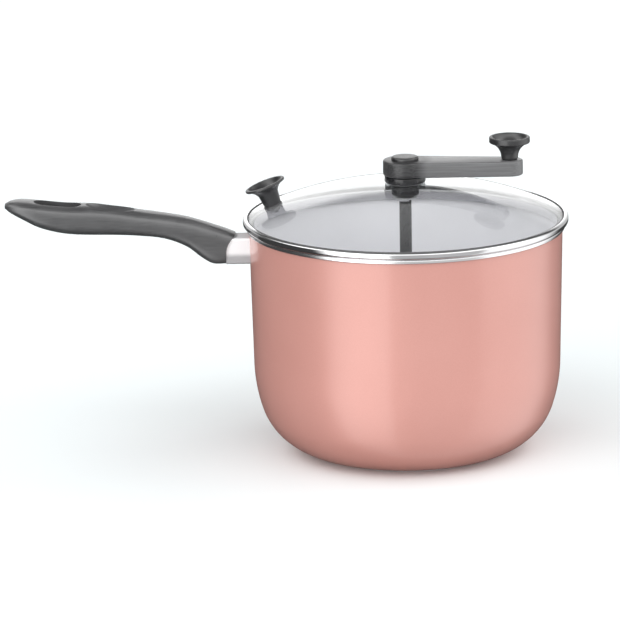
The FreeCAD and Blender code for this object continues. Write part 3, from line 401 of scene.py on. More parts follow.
BARE_LIP = spun_metal("turned_aluminium", ALUMINIUM_DARK, ALUMINIUM_LIGHT,
                      polish=0.16, line=0.3 * MM)
BAND_STEEL = spun_metal("polished_band_steel", STEEL_DARK, STEEL_BRIGHT,
                        polish=0.05, line=0.2 * MM)
SLEEVE_STEEL = sleeve_steel()
PLAIN_STEEL = brushed_metal("plain_steel", STEEL_DARK, STEEL_LIGHT,
                            polish=0.24, stretch=BRUSHED_ALONG_Y)
print("finishes", BARE_LIP.name, BAND_STEEL.name, SLEEVE_STEEL.name, PLAIN_STEEL.name)

# %% [markdown]
# The pale lining is a baked non-stick coat with fine specks.  Handle, arm and knobs are a
# heat-proof moulding: dark grey, satin, with the fine grain of a blasted mould and faint flow
# streaks along the piece.  Its tone is painted paler on the arm as painted light, and darker on
# the knobs as painted shade.  Bush, nut and shaft are gloss black nylon, and the gaskets silicone.

# %% Coats and mouldings
LINING_TONES = ((0.86, 0.86, 0.885), (0.66, 0.65, 0.69))
MOULDING_TONES = ((0.028, 0.028, 0.029), (0.080, 0.080, 0.083))
# The knobs' tones are a darker copy of the same moulding: painted shade.
KNOB_SHADED_TONES = ((0.010, 0.010, 0.011), (0.026, 0.026, 0.027))
# The arm's tones reach paler than the grip's, and the pale end is laid on away from the hub: painted
# light.
ARM_LIT_TONES = ((0.008, 0.008, 0.009), (0.165, 0.165, 0.168))
NYLON_TONES = ((0.008, 0.008, 0.009), (0.02, 0.02, 0.022))
SILICONE_TONES = ((0.06, 0.06, 0.062), (0.12, 0.12, 0.123))
# Where the arm's painted light starts, out from the hub's axis.
PAINTED_LIGHT_FROM = (13 * MM, 20 * MM)
LINING_SPECK, LINING_CLOUD, LINING_GRAIN = 0.7 * MM, 30 * MM, 1.5 * MM
LINING_DEPTH = 0.01 * MM
SPECK_EDGE = (0.62, 0.72)
MOULD_GRAIN, FLOW_LINE, HANDLED = 0.45 * MM, 0.8 * MM, 14 * MM
MOULD_DEPTH = 0.02 * MM
FLOW_EDGE = (0.3, 0.7)
NYLON_SWIRL, NYLON_RIPPLE = 5 * MM, 1 * MM
NYLON_DEPTH = 0.003 * MM
SILICONE_DUST, SILICONE_GRAIN = 2 * MM, 0.3 * MM
SILICONE_DEPTH = 0.01 * MM


def pale_lining():
    coat = Finish(bpy.data.materials.new("pale_lining"))
    place = coat.place()
    specks = coat.steps(coat.noise(place, LINING_SPECK), *SPECK_EDGE)
    clouds = coat.noise(place, LINING_CLOUD)
    coat.shade({
        "Base Color": coat.blend(specks * 0.5 + clouds * 0.3, *LINING_TONES),
        "Roughness": clouds * 0.1 + 0.36,
        "Normal": coat.bump(coat.noise(place, LINING_GRAIN), LINING_DEPTH),
    })
    return coat.owner


def satin_moulding(name, stretch, tones, streak, gloss=0.8, painted_light=0.0):
    """A satin moulding with streaks along it, painted paler away from the crank's hub as painted light.
    """
    moulding = Finish(bpy.data.materials.new(name))
    place = moulding.place()
    across, depth, _ = moulding.parts(place)
    # Away from the hub the tone turns paler: painted light.
    out = moulding.steps((across * across + depth * depth) ** 0.5, *PAINTED_LIGHT_FROM)
    grain = moulding.noise(place, MOULD_GRAIN)
    flow_lines = moulding.noise(moulding.stretched(place, stretch), FLOW_LINE, 3)
    streaks = moulding.steps(flow_lines, *FLOW_EDGE)
    handled = moulding.noise(place, HANDLED)
    flow = streaks * streak + handled * (1 - streak)
    moulding.shade({
        "Base Color": moulding.blend(flow * (1 - painted_light) + out * painted_light, *tones),
        "Roughness": streaks * 0.12 + handled * 0.08 + 0.25,
        "Normal": moulding.bump(grain * 0.7 + streaks * 0.5, MOULD_DEPTH),
        "Specular IOR Level": gloss,
    })
    return moulding.owner


def gloss_nylon():
    nylon = Finish(bpy.data.materials.new("gloss_nylon"))
    place = nylon.place()
    swirl = nylon.noise(place, NYLON_SWIRL)
    nylon.shade({
        "Base Color": nylon.blend(swirl, *NYLON_TONES),
        "Roughness": swirl * 0.08 + 0.06,
        "Normal": nylon.bump(nylon.noise(place, NYLON_RIPPLE), NYLON_DEPTH),
    })
    return nylon.owner


def soft_silicone():
    silicone = Finish(bpy.data.materials.new("soft_silicone"))
    place = silicone.place()
    dust = silicone.noise(place, SILICONE_DUST)
    silicone.shade({
        "Base Color": silicone.blend(dust, *SILICONE_TONES),
        "Roughness": dust * 0.2 + 0.5,
        "Normal": silicone.bump(silicone.noise(place, SILICONE_GRAIN), SILICONE_DEPTH),
    })
    return silicone.owner


LINING = pale_lining()
GRIP_MOULDING = satin_moulding("satin_grip_moulding", (0.06, 1, 1), MOULDING_TONES,
                               streak=0.25, gloss=1.0)
# The arm is painted paler away from its hub, as painted light.
ARM_MOULDING = satin_moulding("satin_arm_moulding", (0.02, 1, 1), ARM_LIT_TONES,
                              streak=0.8, gloss=0.5, painted_light=0.7)
# The knobs and cap take the moulding darker, as painted shade.
KNOB_MOULDING = satin_moulding("satin_knob_moulding", (1, 1, 0.3), KNOB_SHADED_TONES, streak=0.3)
NYLON = gloss_nylon()
SILICONE = soft_silicone()
print("finishes", LINING.name, GRIP_MOULDING.name, ARM_MOULDING.name, KNOB_MOULDING.name,
      NYLON.name, SILICONE.name)

# %% [markdown]
# The lid is clear toughened glass, faintly green.  Light that comes through it should still
# reach the inside of the pot, so for shadow rays the glass counts as open.

# %% Glass
GLASS_TINT = (0.975, 0.985, 0.985, 1)
GLASS_INDEX = 1.5
WIPED = 20 * MM


def clear_glass():
    glass = Finish(bpy.data.materials.new("clear_glass"))
    place = glass.place()
    wiped = glass.noise(place, WIPED)
    glass.shade({
        "Base Color": GLASS_TINT,
        "Roughness": wiped * 0.01,
        "Transmission Weight": 1.0,
        "IOR": GLASS_INDEX,
    })
    shader = Wire(glass, glass.tree.nodes["Principled BSDF"].outputs[0])
    shadow = glass.node("ShaderNodeLightPath", output="Is Shadow Ray")
    opened = glass.node("ShaderNodeBsdfTransparent")
    mixed = glass.node("ShaderNodeMixShader", sockets={0: shadow, 1: shader, 2: opened})
    output = glass.tree.nodes["Material Output"]
    glass.tree.links.new(mixed.socket, output.inputs["Surface"])
    return glass.owner


GLASS = clear_glass()
print("finish", GLASS.name)

# %% [markdown]
# Most of the pieces are round, and a lathe makes them: draw half a section, then spin it.  The
# section starts as a plane that is merged to a single vertex, moved to the first point and
# extruded from point to point.  Helpers give its curves: an arc between two points, a circle, and
# an outline whose corners are rounded where they carry a third number, the radius.

# %% A small lathe
CREASE = math.radians(30)
WELD = 0.002
NEAR = 0.01


def arc(start, end, radius, steps=10):
    """Points of the short arc between two points.  It bends to the left if its radius is positive."""
    start = Vector(start[:2])
    end = Vector(end[:2])
    chord = end - start
    left = Vector((-chord.y, chord.x)).normalized()
    away = math.sqrt(max(radius ** 2 - chord.length_squared / 4, 0))
    middle = (start + end) / 2 + left * math.copysign(away, radius)
    spoke = start - middle
    finish = end - middle
    sweep = math.atan2(spoke.x * finish.y - spoke.y * finish.x, spoke.dot(finish))
    turns = [Matrix.Rotation(sweep * step / steps, 2) for step in range(steps + 1)]
    return [tuple(middle + turn @ spoke) for turn in turns]


def rounded(corners, closed=True, steps=5):
    """An outline: a corner of three numbers is rounded off by the third."""
    points = []
    for index, corner in enumerate(corners):
        inner = closed or 0 < index < len(corners) - 1
        if len(corner) == 2 or not inner:
            points.append(tuple(corner[:2]))
            continue
        here = Vector(corner[:2])
        back = (Vector(corners[index - 1][:2]) - here).normalized()
        ahead = (Vector(corners[(index + 1) % len(corners)][:2]) - here).normalized()
        reach = corner[2] / math.tan(back.angle(ahead) / 2)
        bend = math.copysign(corner[2], back.y * ahead.x - back.x * ahead.y)
        points += arc(here + back * reach, here + ahead * reach, bend, steps)
    return points


def circle(middle, radius, sides=48):
    """A circle's points."""
    turns = [math.tau * step / sides for step in range(sides)]
    return [(middle[0] + radius * math.cos(turn), middle[1] + radius * math.sin(turn))
            for turn in turns]


def draw(name, places, closed=True):
    """Draws a line from place to place, in millimetres, and leaves it selected in edit mode."""
    bpy.ops.object.select_all(action="DESELECT")
    bpy.ops.mesh.primitive_plane_add(size=MM)
    piece = bpy.context.object
    piece.name = name
    piece.data.name = name
    bpy.ops.object.mode_set(mode="EDIT")
    bpy.ops.mesh.select_mode(type="VERT")
    bpy.ops.mesh.select_all(action="SELECT")
    bpy.ops.mesh.merge(type="CENTER")
    places = [Vector(place) * MM for place in places]
    bpy.ops.transform.translate(value=places[0])
    for before, after in zip(places, places[1:] + places[:1] * closed):
        bpy.ops.mesh.extrude_vertices_move(TRANSFORM_OT_translate={"value": after - before})
    bpy.ops.mesh.select_all(action="SELECT")
    bpy.ops.mesh.remove_doubles(threshold=0.001 * MM)
    return piece


def turn_piece(name, section, closed=True, sides=192, start=0.0, sweep=math.tau):
    """Spins a section, given as points out and up, and smooths what is not a corner."""
    outward = Vector((math.cos(start), math.sin(start), 0))
    piece = draw(name, [outward * across + Vector((0, 0, up)) for across, up in section], closed)
    bpy.ops.mesh.spin(steps=sides, angle=sweep, center=(0, 0, 0), axis=(0, 0, 1))
    if sweep < math.tau:
        bpy.ops.mesh.select_all(action="SELECT")
        bpy.ops.mesh.fill_holes(sides=0)
    finish_mesh()
    return piece


def finish_mesh(weld=WELD):
    """Merges doubles, turns the faces outwards and shades all but the corners smooth."""
    bpy.ops.mesh.select_all(action="SELECT")
    bpy.ops.mesh.remove_doubles(threshold=weld * MM)
    bpy.ops.mesh.dissolve_degenerate(threshold=weld / 2 * MM)
    bpy.ops.mesh.normals_make_consistent(inside=False)
    bpy.ops.object.mode_set(mode="OBJECT")
    bpy.ops.object.shade_smooth_by_angle(angle=CREASE)


def hand_over(piece, body, slot, finishes, *solids):
    """Gives a piece its finishes and its body, and hides the solids that it stands for."""
    piece.data.materials.clear()
    for finish in finishes:
        piece.data.materials.append(finish)
    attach(piece, body)
    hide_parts(*solids)
    print(piece.name, len(piece.data.polygons), "faces, for", *solids)


# %% [markdown]
# The pot's wall rises from a flat base through a wide corner and a slow bend into a nearly
# straight side, and ends in a thick bare lip.  The section walks along that line: a heading,
# then arcs by radius and angle.  One closed section gives outside, lip and lining at once, and
# faces then get their finish by where they are and which way they look.

# %% Pot
BASE_FLAT = 54.5
WALL = 2.4
CORNER = (43, 72)
WALL_BEND = (102, 16.8)
LIP_BASE = 147.6
LIP_TOP = 151.2
LIP_REACH = 1.5
LIP_RISE = 0.9
GROOVES = [22, 31, 40]
GROOVE_HALF = 0.8
GROOVE_FLOOR = 0.5
GROOVE_DEPTH = 0.5
LIP_EDGES = (0.4, 1.4, 0.9)
STRAIGHT_STEPS = 8
RING_SHARES = (0.75, 0.5, 0.25, 0)
LOOKS_DOWN = -0.5
ROUND_SIDES = 256
PAINTED, BARE, LINED = range(3)


def walk(start, bends, height, steps=24):
    """A line from a level start through arcs to the left, and then straight up to a height."""
    points = [start]
    heading = 0.0
    for radius, degrees in bends:
        here = points[-1]
        middle = (here[0] - radius * math.sin(heading), here[1] + radius * math.cos(heading))
        for step in range(1, steps + 1):
            way = heading + math.radians(degrees) * step / steps
            points.append((middle[0] + radius * math.sin(way), middle[1] - radius * math.cos(way)))
        heading += math.radians(degrees)
    lean = 1 / math.tan(heading)
    across, up = points[-1]
    rise = (height - up) / STRAIGHT_STEPS
    return points + [(across + lean * rise * step, up + rise * step)
                     for step in range(1, STRAIGHT_STEPS + 1)]


def pot_section():
    """The pot's closed section, from the middle of the base round the lip to the floor's middle."""
    under = [(0, 0)]
    for groove in GROOVES:
        under += [(groove - GROOVE_HALF, 0), (groove - GROOVE_FLOOR, GROOVE_DEPTH),
                  (groove + GROOVE_FLOOR, GROOVE_DEPTH), (groove + GROOVE_HALF, 0)]
    outside = walk((BASE_FLAT, 0), [CORNER, WALL_BEND], LIP_BASE)
    inner_bends = [(radius - WALL, degrees) for radius, degrees in (CORNER, WALL_BEND)]
    inside = walk((BASE_FLAT, WALL), inner_bends, LIP_BASE)
    wall = outside[-1][0]
    below, outer, inner = LIP_EDGES
    lip = rounded([
        outside[-1], (wall + LIP_REACH, LIP_BASE + LIP_RISE, below), (wall + LIP_REACH, LIP_TOP, outer),
        (wall - WALL, LIP_TOP, inner), inside[-1],
    ], closed=False)
    floor_rings = [(BASE_FLAT * share, WALL) for share in RING_SHARES]
    return under + outside[:-1] + lip + inside[-2::-1] + floor_rings


def pot_finish(face):
    """Which finish a face of the pot has, by its place and the way it looks."""
    middle = face.center / MM
    under = face.normal.z < LOOKS_DOWN and middle.z < GROOVE_DEPTH + NEAR
    if middle.z > LIP_BASE or under:
        return BARE
    outward = face.normal.x * middle.x + face.normal.y * middle.y
    return PAINTED if outward > 0 else LINED


pot = turn_piece("pot_shell", pot_section(), closed=False, sides=ROUND_SIDES)
hand_over(pot, "pot", "rose_paint", [PAINT, BARE_LIP, LINING], "pot_body")
for face in pot.data.polygons:
    face.material_index = pot_finish(face)

# %% [markdown]
# The lid's band is one strip of thin steel, rolled into a channel that grips the glass and a
# skirt that drops into the pot's mouth.  Its ends meet in a butt seam, left of the front.  A
# spin of a little under a full turn leaves that seam open, and both cut ends get a face.

# %% Lid band
BAND_BASE = 151.35
BAND_TOP = 156.15
BAND_OUTER = 106
BAND_SHEET = 0.5
BAND_BEND = 1.6
BAND_SHOULDER = 155.3
BAND_CROWN = 1.2
BAND_EDGE = 0.2
BAND_MOUTH = 103.2
SKIRT = 98.6
SKIRT_END = 144.95
SEAM = math.radians(220.3)
SEAM_GAP = math.radians(0.25)


def band_section():
    """The strip's section: out from the skirt, round the channel, and back along its inner face."""
    wall = BAND_OUTER - BAND_SHEET
    return rounded([
        (SKIRT - BAND_SHEET, SKIRT_END), (SKIRT, SKIRT_END), (SKIRT, BAND_BASE, BAND_BEND),
        (BAND_OUTER, BAND_BASE, BAND_BEND), (BAND_OUTER, BAND_SHOULDER, BAND_CROWN),
        (BAND_MOUTH, BAND_TOP, BAND_EDGE), (BAND_MOUTH, BAND_TOP - BAND_SHEET, BAND_EDGE),
        (wall, BAND_SHOULDER - BAND_SHEET, BAND_CROWN - BAND_SHEET),
        (wall, BAND_BASE + BAND_SHEET, BAND_BEND - BAND_SHEET),
        (SKIRT - BAND_SHEET, BAND_BASE + BAND_SHEET, BAND_BEND),
    ])


band = turn_piece("lid_rim", band_section(), sides=ROUND_SIDES,
                  start=SEAM + SEAM_GAP / 2, sweep=math.tau - SEAM_GAP)
hand_over(band, "lid", "plain_steel", [BAND_STEEL], "lid_band")

# %% [markdown]
# The crank runs in a flanged bush through the glass, with a round nut under it, both turned
# from nylon with small rounded edges.  The cap over the arm's screw is a moulded dome with a
# softer edge.  All three come straight off the lathe.

# %% Bush, nut and cap
SHAFT_BORE = 4.05
TUBE = 6.0
TUBE_END = 167.6
FLANGE, FLANGE_BASE, FLANGE_TOP = 13.4, 178.5, 182.7
NUT, NUT_BASE, NUT_TOP = 8.9, 168.6, 174.4
CAP, CAP_BASE, CAP_TOP = 8.9, 193.0, 195.3
CAP_ROOM = 7.3
CAP_CEILING = 194.55
CAP_FALL = 0.15
CAP_EDGE = 1.2
CAP_SHOULDER, CAP_CROWN = 0.6 * CAP, 4
NYLON_EDGE = 0.7
NUT_RIM = 0.3
SMALL_SIDES = 96

bush = turn_piece("bush_flange", rounded([
    (SHAFT_BORE, TUBE_END), (TUBE, TUBE_END), (TUBE, FLANGE_BASE), (FLANGE, FLANGE_BASE, NYLON_EDGE),
    (FLANGE, FLANGE_TOP, NYLON_EDGE), (SHAFT_BORE, FLANGE_TOP),
]), sides=SMALL_SIDES)
hand_over(bush, "lid", "gloss_black", [NYLON], "crank_bush")

nut = turn_piece("bush_ring", rounded([
    (TUBE, NUT_BASE), (NUT, NUT_BASE, NYLON_EDGE), (NUT, NUT_TOP, NUT_RIM), (TUBE, NUT_TOP),
]), sides=SMALL_SIDES)
hand_over(nut, "lid", "gloss_black", [NYLON], "bush_nut")

cap = turn_piece("hub_cap", rounded([
    (CAP_ROOM, CAP_BASE), (CAP, CAP_BASE), (CAP, CAP_TOP - CAP_FALL, CAP_EDGE),
    (CAP_SHOULDER, CAP_TOP, CAP_CROWN), (0, CAP_TOP), (0, CAP_CEILING), (CAP_ROOM, CAP_CEILING),
]), sides=SMALL_SIDES)
hand_over(cap, "crank", "satin_black", [KNOB_MOULDING], "arm_cap")

# %% [markdown]
# Both knobs are mouldings with a flared stem and a dished top.  The turning knob stands on the
# arm's end and shows the head of its pin in the dish.  The lifting knob stands square on the
# glass, so it is turned upright, raised to the dome's top and tipped over about the dome's middle.

# %% Knobs
ARM_TURN = math.radians(-3.5)
ARM_REACH = 68
KNOB_FOOT = 193.5
KNOB_BORE, KNOB_STEM = 2.55, 5.3
KNOB_FLARE = ((5.5, 1.4), (12.7, 10.6), -10)
KNOB_RADIUS, KNOB_SKIRT, KNOB_TOP = 13.2, 11.1, 14.6
KNOB_DISH = 11.6
KNOB_HOLLOW = ((11.0, 14.2), (5.2, 8.9), -9)
PIN_ROOM, PIN_ROOM_TOP, PIN_ROOM_FLOOR = 5, 8.7, 7.4
SHARP, DISH_EDGE, KNOB_ROUND, LIFT_ROUND = 0.3, 0.4, 0.8, 0.6
DOME = 245
DOME_MIDDLE = -66.8
LIFT_REACH = 86.2
LIFT_TURN = math.radians(176.8)
LIFT_PAD = 0.9
LIFT_BORE, LIFT_BORE_END, LIFT_STEM = 2, 7.5, 5.6
LIFT_FLARE = ((6.7, 8), (13.2, 13.3), -9.5)
LIFT_RADIUS, LIFT_SKIRT, LIFT_TOP = 13.4, 13.6, 14.8
LIFT_DISH = 11.6
LIFT_HOLLOW = ((11.3, 14.5), (0, 9.6), -11)
KNOB_SIDES = 128


def set_down(piece, place):
    """Moves a finished piece to its place and writes that place into its mesh."""
    piece.matrix_world = place
    bpy.ops.object.transform_apply(location=True, rotation=True, scale=False)


knob = turn_piece("crank_knob", rounded([
    (KNOB_BORE, 0), (KNOB_STEM, 0, SHARP), *arc(*KNOB_FLARE, 16),
    (KNOB_RADIUS, KNOB_SKIRT, SHARP), (KNOB_RADIUS, KNOB_TOP, KNOB_ROUND),
    (KNOB_DISH, KNOB_TOP, DISH_EDGE), *arc(*KNOB_HOLLOW, 14),
    (PIN_ROOM, PIN_ROOM_TOP), (PIN_ROOM, PIN_ROOM_FLOOR), (KNOB_BORE, PIN_ROOM_FLOOR),
]), sides=KNOB_SIDES)
arm_end = Vector((math.cos(ARM_TURN), math.sin(ARM_TURN), 0)) * ARM_REACH
set_down(knob, Matrix.Translation((arm_end + Vector((0, 0, KNOB_FOOT))) * MM))
hand_over(knob, "knob", "satin_black", [KNOB_MOULDING], "turning_knob")

lifter = turn_piece("lid_knob", rounded([
    (LIFT_BORE, 0), (LIFT_STEM, 0, SHARP), *arc(*LIFT_FLARE, 14),
    (LIFT_RADIUS, LIFT_SKIRT), (LIFT_RADIUS, LIFT_TOP, LIFT_ROUND),
    (LIFT_DISH, LIFT_TOP, SHARP), *arc(*LIFT_HOLLOW, 14),
    (0, LIFT_BORE_END), (LIFT_BORE, LIFT_BORE_END),
]), sides=KNOB_SIDES)
lean = Matrix.Rotation(math.asin(LIFT_REACH / DOME), 4, "Y")
swing = Matrix.Rotation(LIFT_TURN, 4, "Z")
dome_top = Matrix.Translation((0, 0, (DOME + LIFT_PAD) * MM))
set_down(lifter, Matrix.Translation((0, 0, DOME_MIDDLE * MM)) @ swing @ lean @ dome_top)
hand_over(lifter, "lid", "satin_black", [KNOB_MOULDING], "lifting_knob")
for piece, solid in ((knob, "turning_knob"), (lifter, "lifting_knob")):
    corners = [Vector(corner) for corner in piece.bound_box]
    low = [min(corner[axis] for corner in corners) for axis in range(3)]
    off = [round((new - cad) / MM, 2) for new, cad in zip(low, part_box(solid)[0])]
    print(solid, off, "mm off at the low corner")

# %% [markdown]
# The crank arm is a flat bar that narrows from a round hub to a round end, moulded with soft
# edges and a ribbed hollow underneath.  Its plan is drawn, filled and pulled up to a slab, the
# edges above and below are bevelled, and cutters take out the hollow and the pin's seat.

# %% Crank arm
ARM_BASE = 183.0
ARM_TOP = 193.0
ARM_HUB = 14.3
ARM_END = 8.6
ARM_ROOT = 12.4
ARM_BLEND = 7.0
ARM_EDGE = 1.1
HOLLOW_START, HOLLOW_END = 17, 57
HOLLOW_WIDE, HOLLOW_NARROW = 9.0, 6.8
HOLLOW_DEPTH = 5.2
HOLLOW_FOLD, RIB_FOLD = 1.2, 0.6
RIB_HALF = 1.0
PIN_SEAT = 4.25
PIN_SEAT_DEPTH = 1.4
OVERSHOOT = 1


def arm_plan():
    """The arm from above, along +X: a fillet joins the hub's circle to each straight side."""
    root = Vector((math.sqrt(ARM_HUB ** 2 - ARM_ROOT ** 2), ARM_ROOT))
    along = (Vector((ARM_REACH, ARM_END)) - root).normalized()
    outward = Vector((-along.y, along.x))
    away = outward.dot(root) + ARM_BLEND
    ahead = math.sqrt((ARM_HUB + ARM_BLEND) ** 2 - away ** 2)
    middle = outward * away + along * ahead
    on_hub = middle * ARM_HUB / (ARM_HUB + ARM_BLEND)
    on_side = middle - outward * ARM_BLEND
    half = arc((ARM_REACH + ARM_END, 0), (ARM_REACH, ARM_END), ARM_END, 12)
    half += arc(on_side, on_hub, -ARM_BLEND, 8) + arc(on_hub, (-ARM_HUB, 0), ARM_HUB, 24)
    return half + [(across, -depth) for across, depth in half[-2:0:-1]]


def slab(name, plan, base, height):
    """A slab pulled up from its plan, left in edit mode."""
    piece = draw(name, [(across, depth, base) for across, depth in plan])
    bpy.ops.mesh.edge_face_add()
    bpy.ops.mesh.extrude_region_move(TRANSFORM_OT_translate={"value": (0, 0, height * MM)})
    bpy.ops.mesh.select_all(action="SELECT")
    bpy.ops.mesh.normals_make_consistent(inside=False)
    return piece


def pick_edges(piece, wanted):
    """Selects the edges whose two ends, in millimetres, pass a test."""
    bpy.ops.mesh.select_mode(type="EDGE")
    bpy.ops.mesh.select_all(action="DESELECT")
    shape = bmesh.from_edit_mesh(piece.data)
    for edge in shape.edges:
        edge.select_set(wanted(*(vert.co / MM for vert in edge.verts)))
    bmesh.update_edit_mesh(piece.data)


def carve(piece, cutter):
    """Cuts one piece out of another and throws the cutter away."""
    bpy.ops.object.mode_set(mode="OBJECT")
    bpy.ops.object.select_all(action="DESELECT")
    bpy.context.view_layer.objects.active = piece
    piece.select_set(True)
    cut = piece.modifiers.new("cut", "BOOLEAN")
    cut.operation = "DIFFERENCE"
    cut.object = cutter
    bpy.ops.object.modifier_apply(modifier=cut.name)
    bpy.data.objects.remove(cutter)


def cutter_of(plan, base, height, place=Matrix()):
    """A slab to cut with, turned to its place."""
    cutter = slab("cutter", plan, base, height)
    bpy.ops.object.mode_set(mode="OBJECT")
    cutter.matrix_world = place
    return cutter


def level_with(height):
    """A test for edges that lie flat at a height."""
    return lambda *ends: all(abs(end.z - height) < NEAR for end in ends)


arm = slab("crank_bar", arm_plan(), ARM_BASE, ARM_TOP - ARM_BASE)
for height in (ARM_BASE, ARM_TOP):
    pick_edges(arm, level_with(height))
    bpy.ops.mesh.bevel(offset=ARM_EDGE * MM, segments=4, affect="EDGES")
bpy.ops.object.mode_set(mode="OBJECT")

pocket = rounded([
    (HOLLOW_START, RIB_HALF, RIB_FOLD), (HOLLOW_END, RIB_HALF, RIB_FOLD),
    (HOLLOW_END, HOLLOW_NARROW, HOLLOW_FOLD), (HOLLOW_START, HOLLOW_WIDE, HOLLOW_FOLD),
])
twin = [(across, -depth) for across, depth in pocket]
seat = circle((ARM_REACH, 0), PIN_SEAT)
for plan, deep in ((pocket, HOLLOW_DEPTH), (twin, HOLLOW_DEPTH), (seat, PIN_SEAT_DEPTH)):
    carve(arm, cutter_of(plan, ARM_BASE - OVERSHOOT, deep + OVERSHOOT))
bpy.ops.object.mode_set(mode="EDIT")
finish_mesh()
set_down(arm, Matrix.Rotation(ARM_TURN, 4, "Z"))
hand_over(arm, "crank", "satin_black", [ARM_MOULDING], "crank_arm")

# %% [markdown]
# The grip swells and thins along its length, boxy where it takes the sleeve and oval where it is
# held.  Rings are drawn at stations along it, bridged one to the next, and both ends are closed.
# Cutters then shape the hood, the socket for the sleeve, the well of the bolt, the slot to hang
# it by and the rest for the thumb.  Cuts leave slivers, so all faces are split into triangles,
# which weld cleanly.

# %% Grip
GRIP_STATIONS = [
    # distance from the pot's axis, top, underside, half width, squareness above and below the waist,
    # and the waist's height as a share
    (108.0, 144.6, 126.6, 10.0, 3.5, 3.4, 0.50),
    (117.0, 148.5, 126.5, 10.2, 3.5, 3.4, 0.50),
    (126.0, 151.7, 126.6, 10.2, 3.4, 3.2, 0.50),
    (133.5, 154.3, 130.8, 10.3, 3.2, 2.7, 0.46),
    (143.0, 157.1, 138.0, 10.5, 3.0, 2.3, 0.42),
    (157.0, 159.7, 143.4, 10.9, 3.0, 2.0, 0.40),
    (174.0, 162.2, 145.6, 11.5, 3.0, 2.0, 0.40),
    (190.0, 165.2, 146.5, 12.3, 3.0, 2.0, 0.40),
    (206.0, 166.5, 146.8, 13.0, 3.4, 2.0, 0.42),
    (222.0, 167.0, 147.9, 13.4, 3.6, 2.0, 0.44),
    (238.0, 168.7, 152.0, 13.2, 3.6, 2.0, 0.46),
    (250.0, 170.0, 158.1, 11.6, 3.2, 1.9, 0.48),
    (257.0, 169.4, 162.2, 8.2, 2.6, 2.0, 0.50),
    (260.6, 167.8, 165.1, 4.0, 2.2, 2.2, 0.50),
]
RING_POINTS = 48
RINGS_BETWEEN = 3
HOOD_END = (-110.3, 146.4)
GRIP_END = (-117.3, 133.4)
HOOD_SWEEP = 15.6
BEYOND_END, BELOW_GRIP, ABOVE_GRIP = -90, 100, 170
GRIP_ROOM = 30
FIXING_HEIGHT = 135.5
SOCKET_HALF, SOCKET_HIGH, SOCKET_FOLD = 8.65, 8.95, 1.7
WELL, WELL_SEAT, WELL_LENGTH = 5.4, -127.5, 30
SLOT_MIDDLE, SLOT_HALF, SLOT_ROUND = -226.5, 9.2, 6.3
SLOT_CUT = (130, 60)
GRIP_WELD = 0.02
THUMB_MIDDLE = Vector((-188.5, 0, 170.6))
THUMB_SIZE = Vector((21.5, 12.5, 10.0))
ALONG_X = Matrix(((0, 0, 1, 0), (1, 0, 0, 0), (0, 1, 0, 0), (0, 0, 0, 1)))
ALONG_Y = Matrix.Rotation(math.tau / 4, 4, "X")


def between_stations(before, start, end, after, share):
    """A smooth blend of two stations that heads for their neighbours."""
    span = end[0] - start[0]
    leave = [(b - a) / (end[0] - before[0]) * span for a, b in zip(before, end)]
    arrive = [(b - a) / (after[0] - start[0]) * span for a, b in zip(start, after)]
    s2, s3 = share ** 2, share ** 3
    weights = (2 * s3 - 3 * s2 + 1, s3 - 2 * s2 + share, 3 * s2 - 2 * s3, s3 - s2)
    return [sum(weight * value for weight, value in zip(weights, values))
            for values in zip(start, leave, end, arrive)]


def grip_rings():
    """All stations, with blended ones between them."""
    ends = [GRIP_STATIONS[0]] + GRIP_STATIONS + [GRIP_STATIONS[-1]]
    shares = [step / (RINGS_BETWEEN + 1) for step in range(RINGS_BETWEEN + 1)]
    rings = []
    for four in zip(ends, ends[1:], ends[2:], ends[3:]):
        rings += [between_stations(*four, share) for share in shares]
    return rings + [GRIP_STATIONS[-1]]


def ring_places(reach, top, under, half, square, low_square, waist):
    """One ring of the grip: half a squared oval above its waist and half of one below."""
    middle = under + (top - under) * waist
    places = []
    for step in range(RING_POINTS):
        turn = math.tau * step / RING_POINTS
        round_point = (math.cos(turn), math.sin(turn))
        power, high = (square, top - middle) if round_point[1] > 0 else (low_square, middle - under)
        across, up = (math.copysign(abs(part) ** (2 / power), part) for part in round_point)
        places.append((-reach, across * half, middle + up * high))
    return places


def in_ring(*rings):
    """A test for edges that lie in one of some rings."""
    def test(*ends):
        return any(all(abs(end.x + ring[0]) < NEAR for end in ends) for ring in rings)
    return test


def loft_grip():
    """Draws the rings, joins them and bridges each to the next."""
    rings = grip_rings()
    loops = []
    for ring in rings:
        loops.append(draw("handle_shell", ring_places(*ring)))
        bpy.ops.object.mode_set(mode="OBJECT")
    bpy.ops.object.select_all(action="DESELECT")
    for loop in loops:
        loop.select_set(True)
    bpy.context.view_layer.objects.active = loops[0]
    bpy.ops.object.join()
    bpy.ops.object.mode_set(mode="EDIT")
    for first, second in zip(rings, rings[1:]):
        pick_edges(loops[0], in_ring(first, second))
        bpy.ops.mesh.bridge_edge_loops()
    for ring in (rings[0], rings[-1]):
        pick_edges(loops[0], in_ring(ring))
        bpy.ops.mesh.edge_face_add()
    finish_mesh()
    return loops[0]


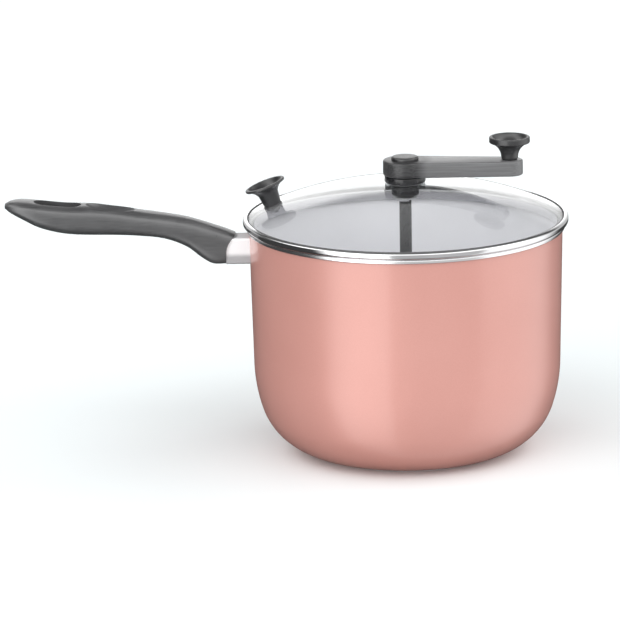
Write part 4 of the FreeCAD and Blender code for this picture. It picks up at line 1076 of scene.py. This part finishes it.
grip = loft_grip()
hood = [(GRIP_END[0], BELOW_GRIP), (BEYOND_END, BELOW_GRIP), (BEYOND_END, ABOVE_GRIP),
        (HOOD_END[0], ABOVE_GRIP), *arc(HOOD_END, GRIP_END, HOOD_SWEEP)]
carve(grip, cutter_of(hood, -GRIP_ROOM, 2 * GRIP_ROOM, ALONG_Y))
socket = rounded([(across * SOCKET_HALF, FIXING_HEIGHT + up * SOCKET_HIGH, SOCKET_FOLD)
                  for across, up in ((1, 1), (-1, 1), (-1, -1), (1, -1))])
carve(grip, cutter_of(socket, GRIP_END[0], GRIP_ROOM, ALONG_X))
well = circle((0, FIXING_HEIGHT), WELL)
carve(grip, cutter_of(well, WELL_SEAT - WELL_LENGTH, WELL_LENGTH, ALONG_X))
stadium = [(across + math.copysign(SLOT_HALF, across - SLOT_MIDDLE), depth)
           for across, depth in circle((SLOT_MIDDLE, 0), SLOT_ROUND)]
carve(grip, cutter_of(stadium, *SLOT_CUT))
bpy.ops.object.select_all(action="DESELECT")
bpy.ops.mesh.primitive_uv_sphere_add(segments=96, ring_count=64, radius=1,
                                     location=THUMB_MIDDLE * MM, scale=THUMB_SIZE * MM)
carve(grip, bpy.context.object)
bpy.ops.object.mode_set(mode="EDIT")
bpy.ops.mesh.select_all(action="SELECT")
bpy.ops.mesh.quads_convert_to_tris(quad_method="BEAUTY", ngon_method="BEAUTY")
finish_mesh(weld=GRIP_WELD)
hand_over(grip, "pot", "satin_black", [GRIP_MOULDING], "handle_grip")

# %% [markdown]
# Each solid takes the finish of what it is made of.  The solids keep their meshes: only the
# material in their slot changes.

# %% Dress the solids
SOLID_FINISHES = {
    "pot_body": PAINT,
    "lid_glass": GLASS,
    "lid_band": BAND_STEEL,
    "flame_guard": SLEEVE_STEEL,
    "handle_grip": GRIP_MOULDING,
    "crank_arm": ARM_MOULDING,
    "lifting_knob": KNOB_MOULDING,
    "arm_cap": KNOB_MOULDING,
    "turning_knob": KNOB_MOULDING,
    "crank_bush": NYLON,
    "bush_nut": NYLON,
    "crank_shaft": NYLON,
    "knob_washer": NYLON,
    "lid_seal": SILICONE,
    "lifting_knob_pad": SILICONE,
    "upper_pad": SILICONE,
    "lower_pad": SILICONE,
}

for name, node in nodes.items():
    node.material_slots[0].material = SOLID_FINISHES.get(name, PLAIN_STEEL)
print(len(nodes), "solids dressed")
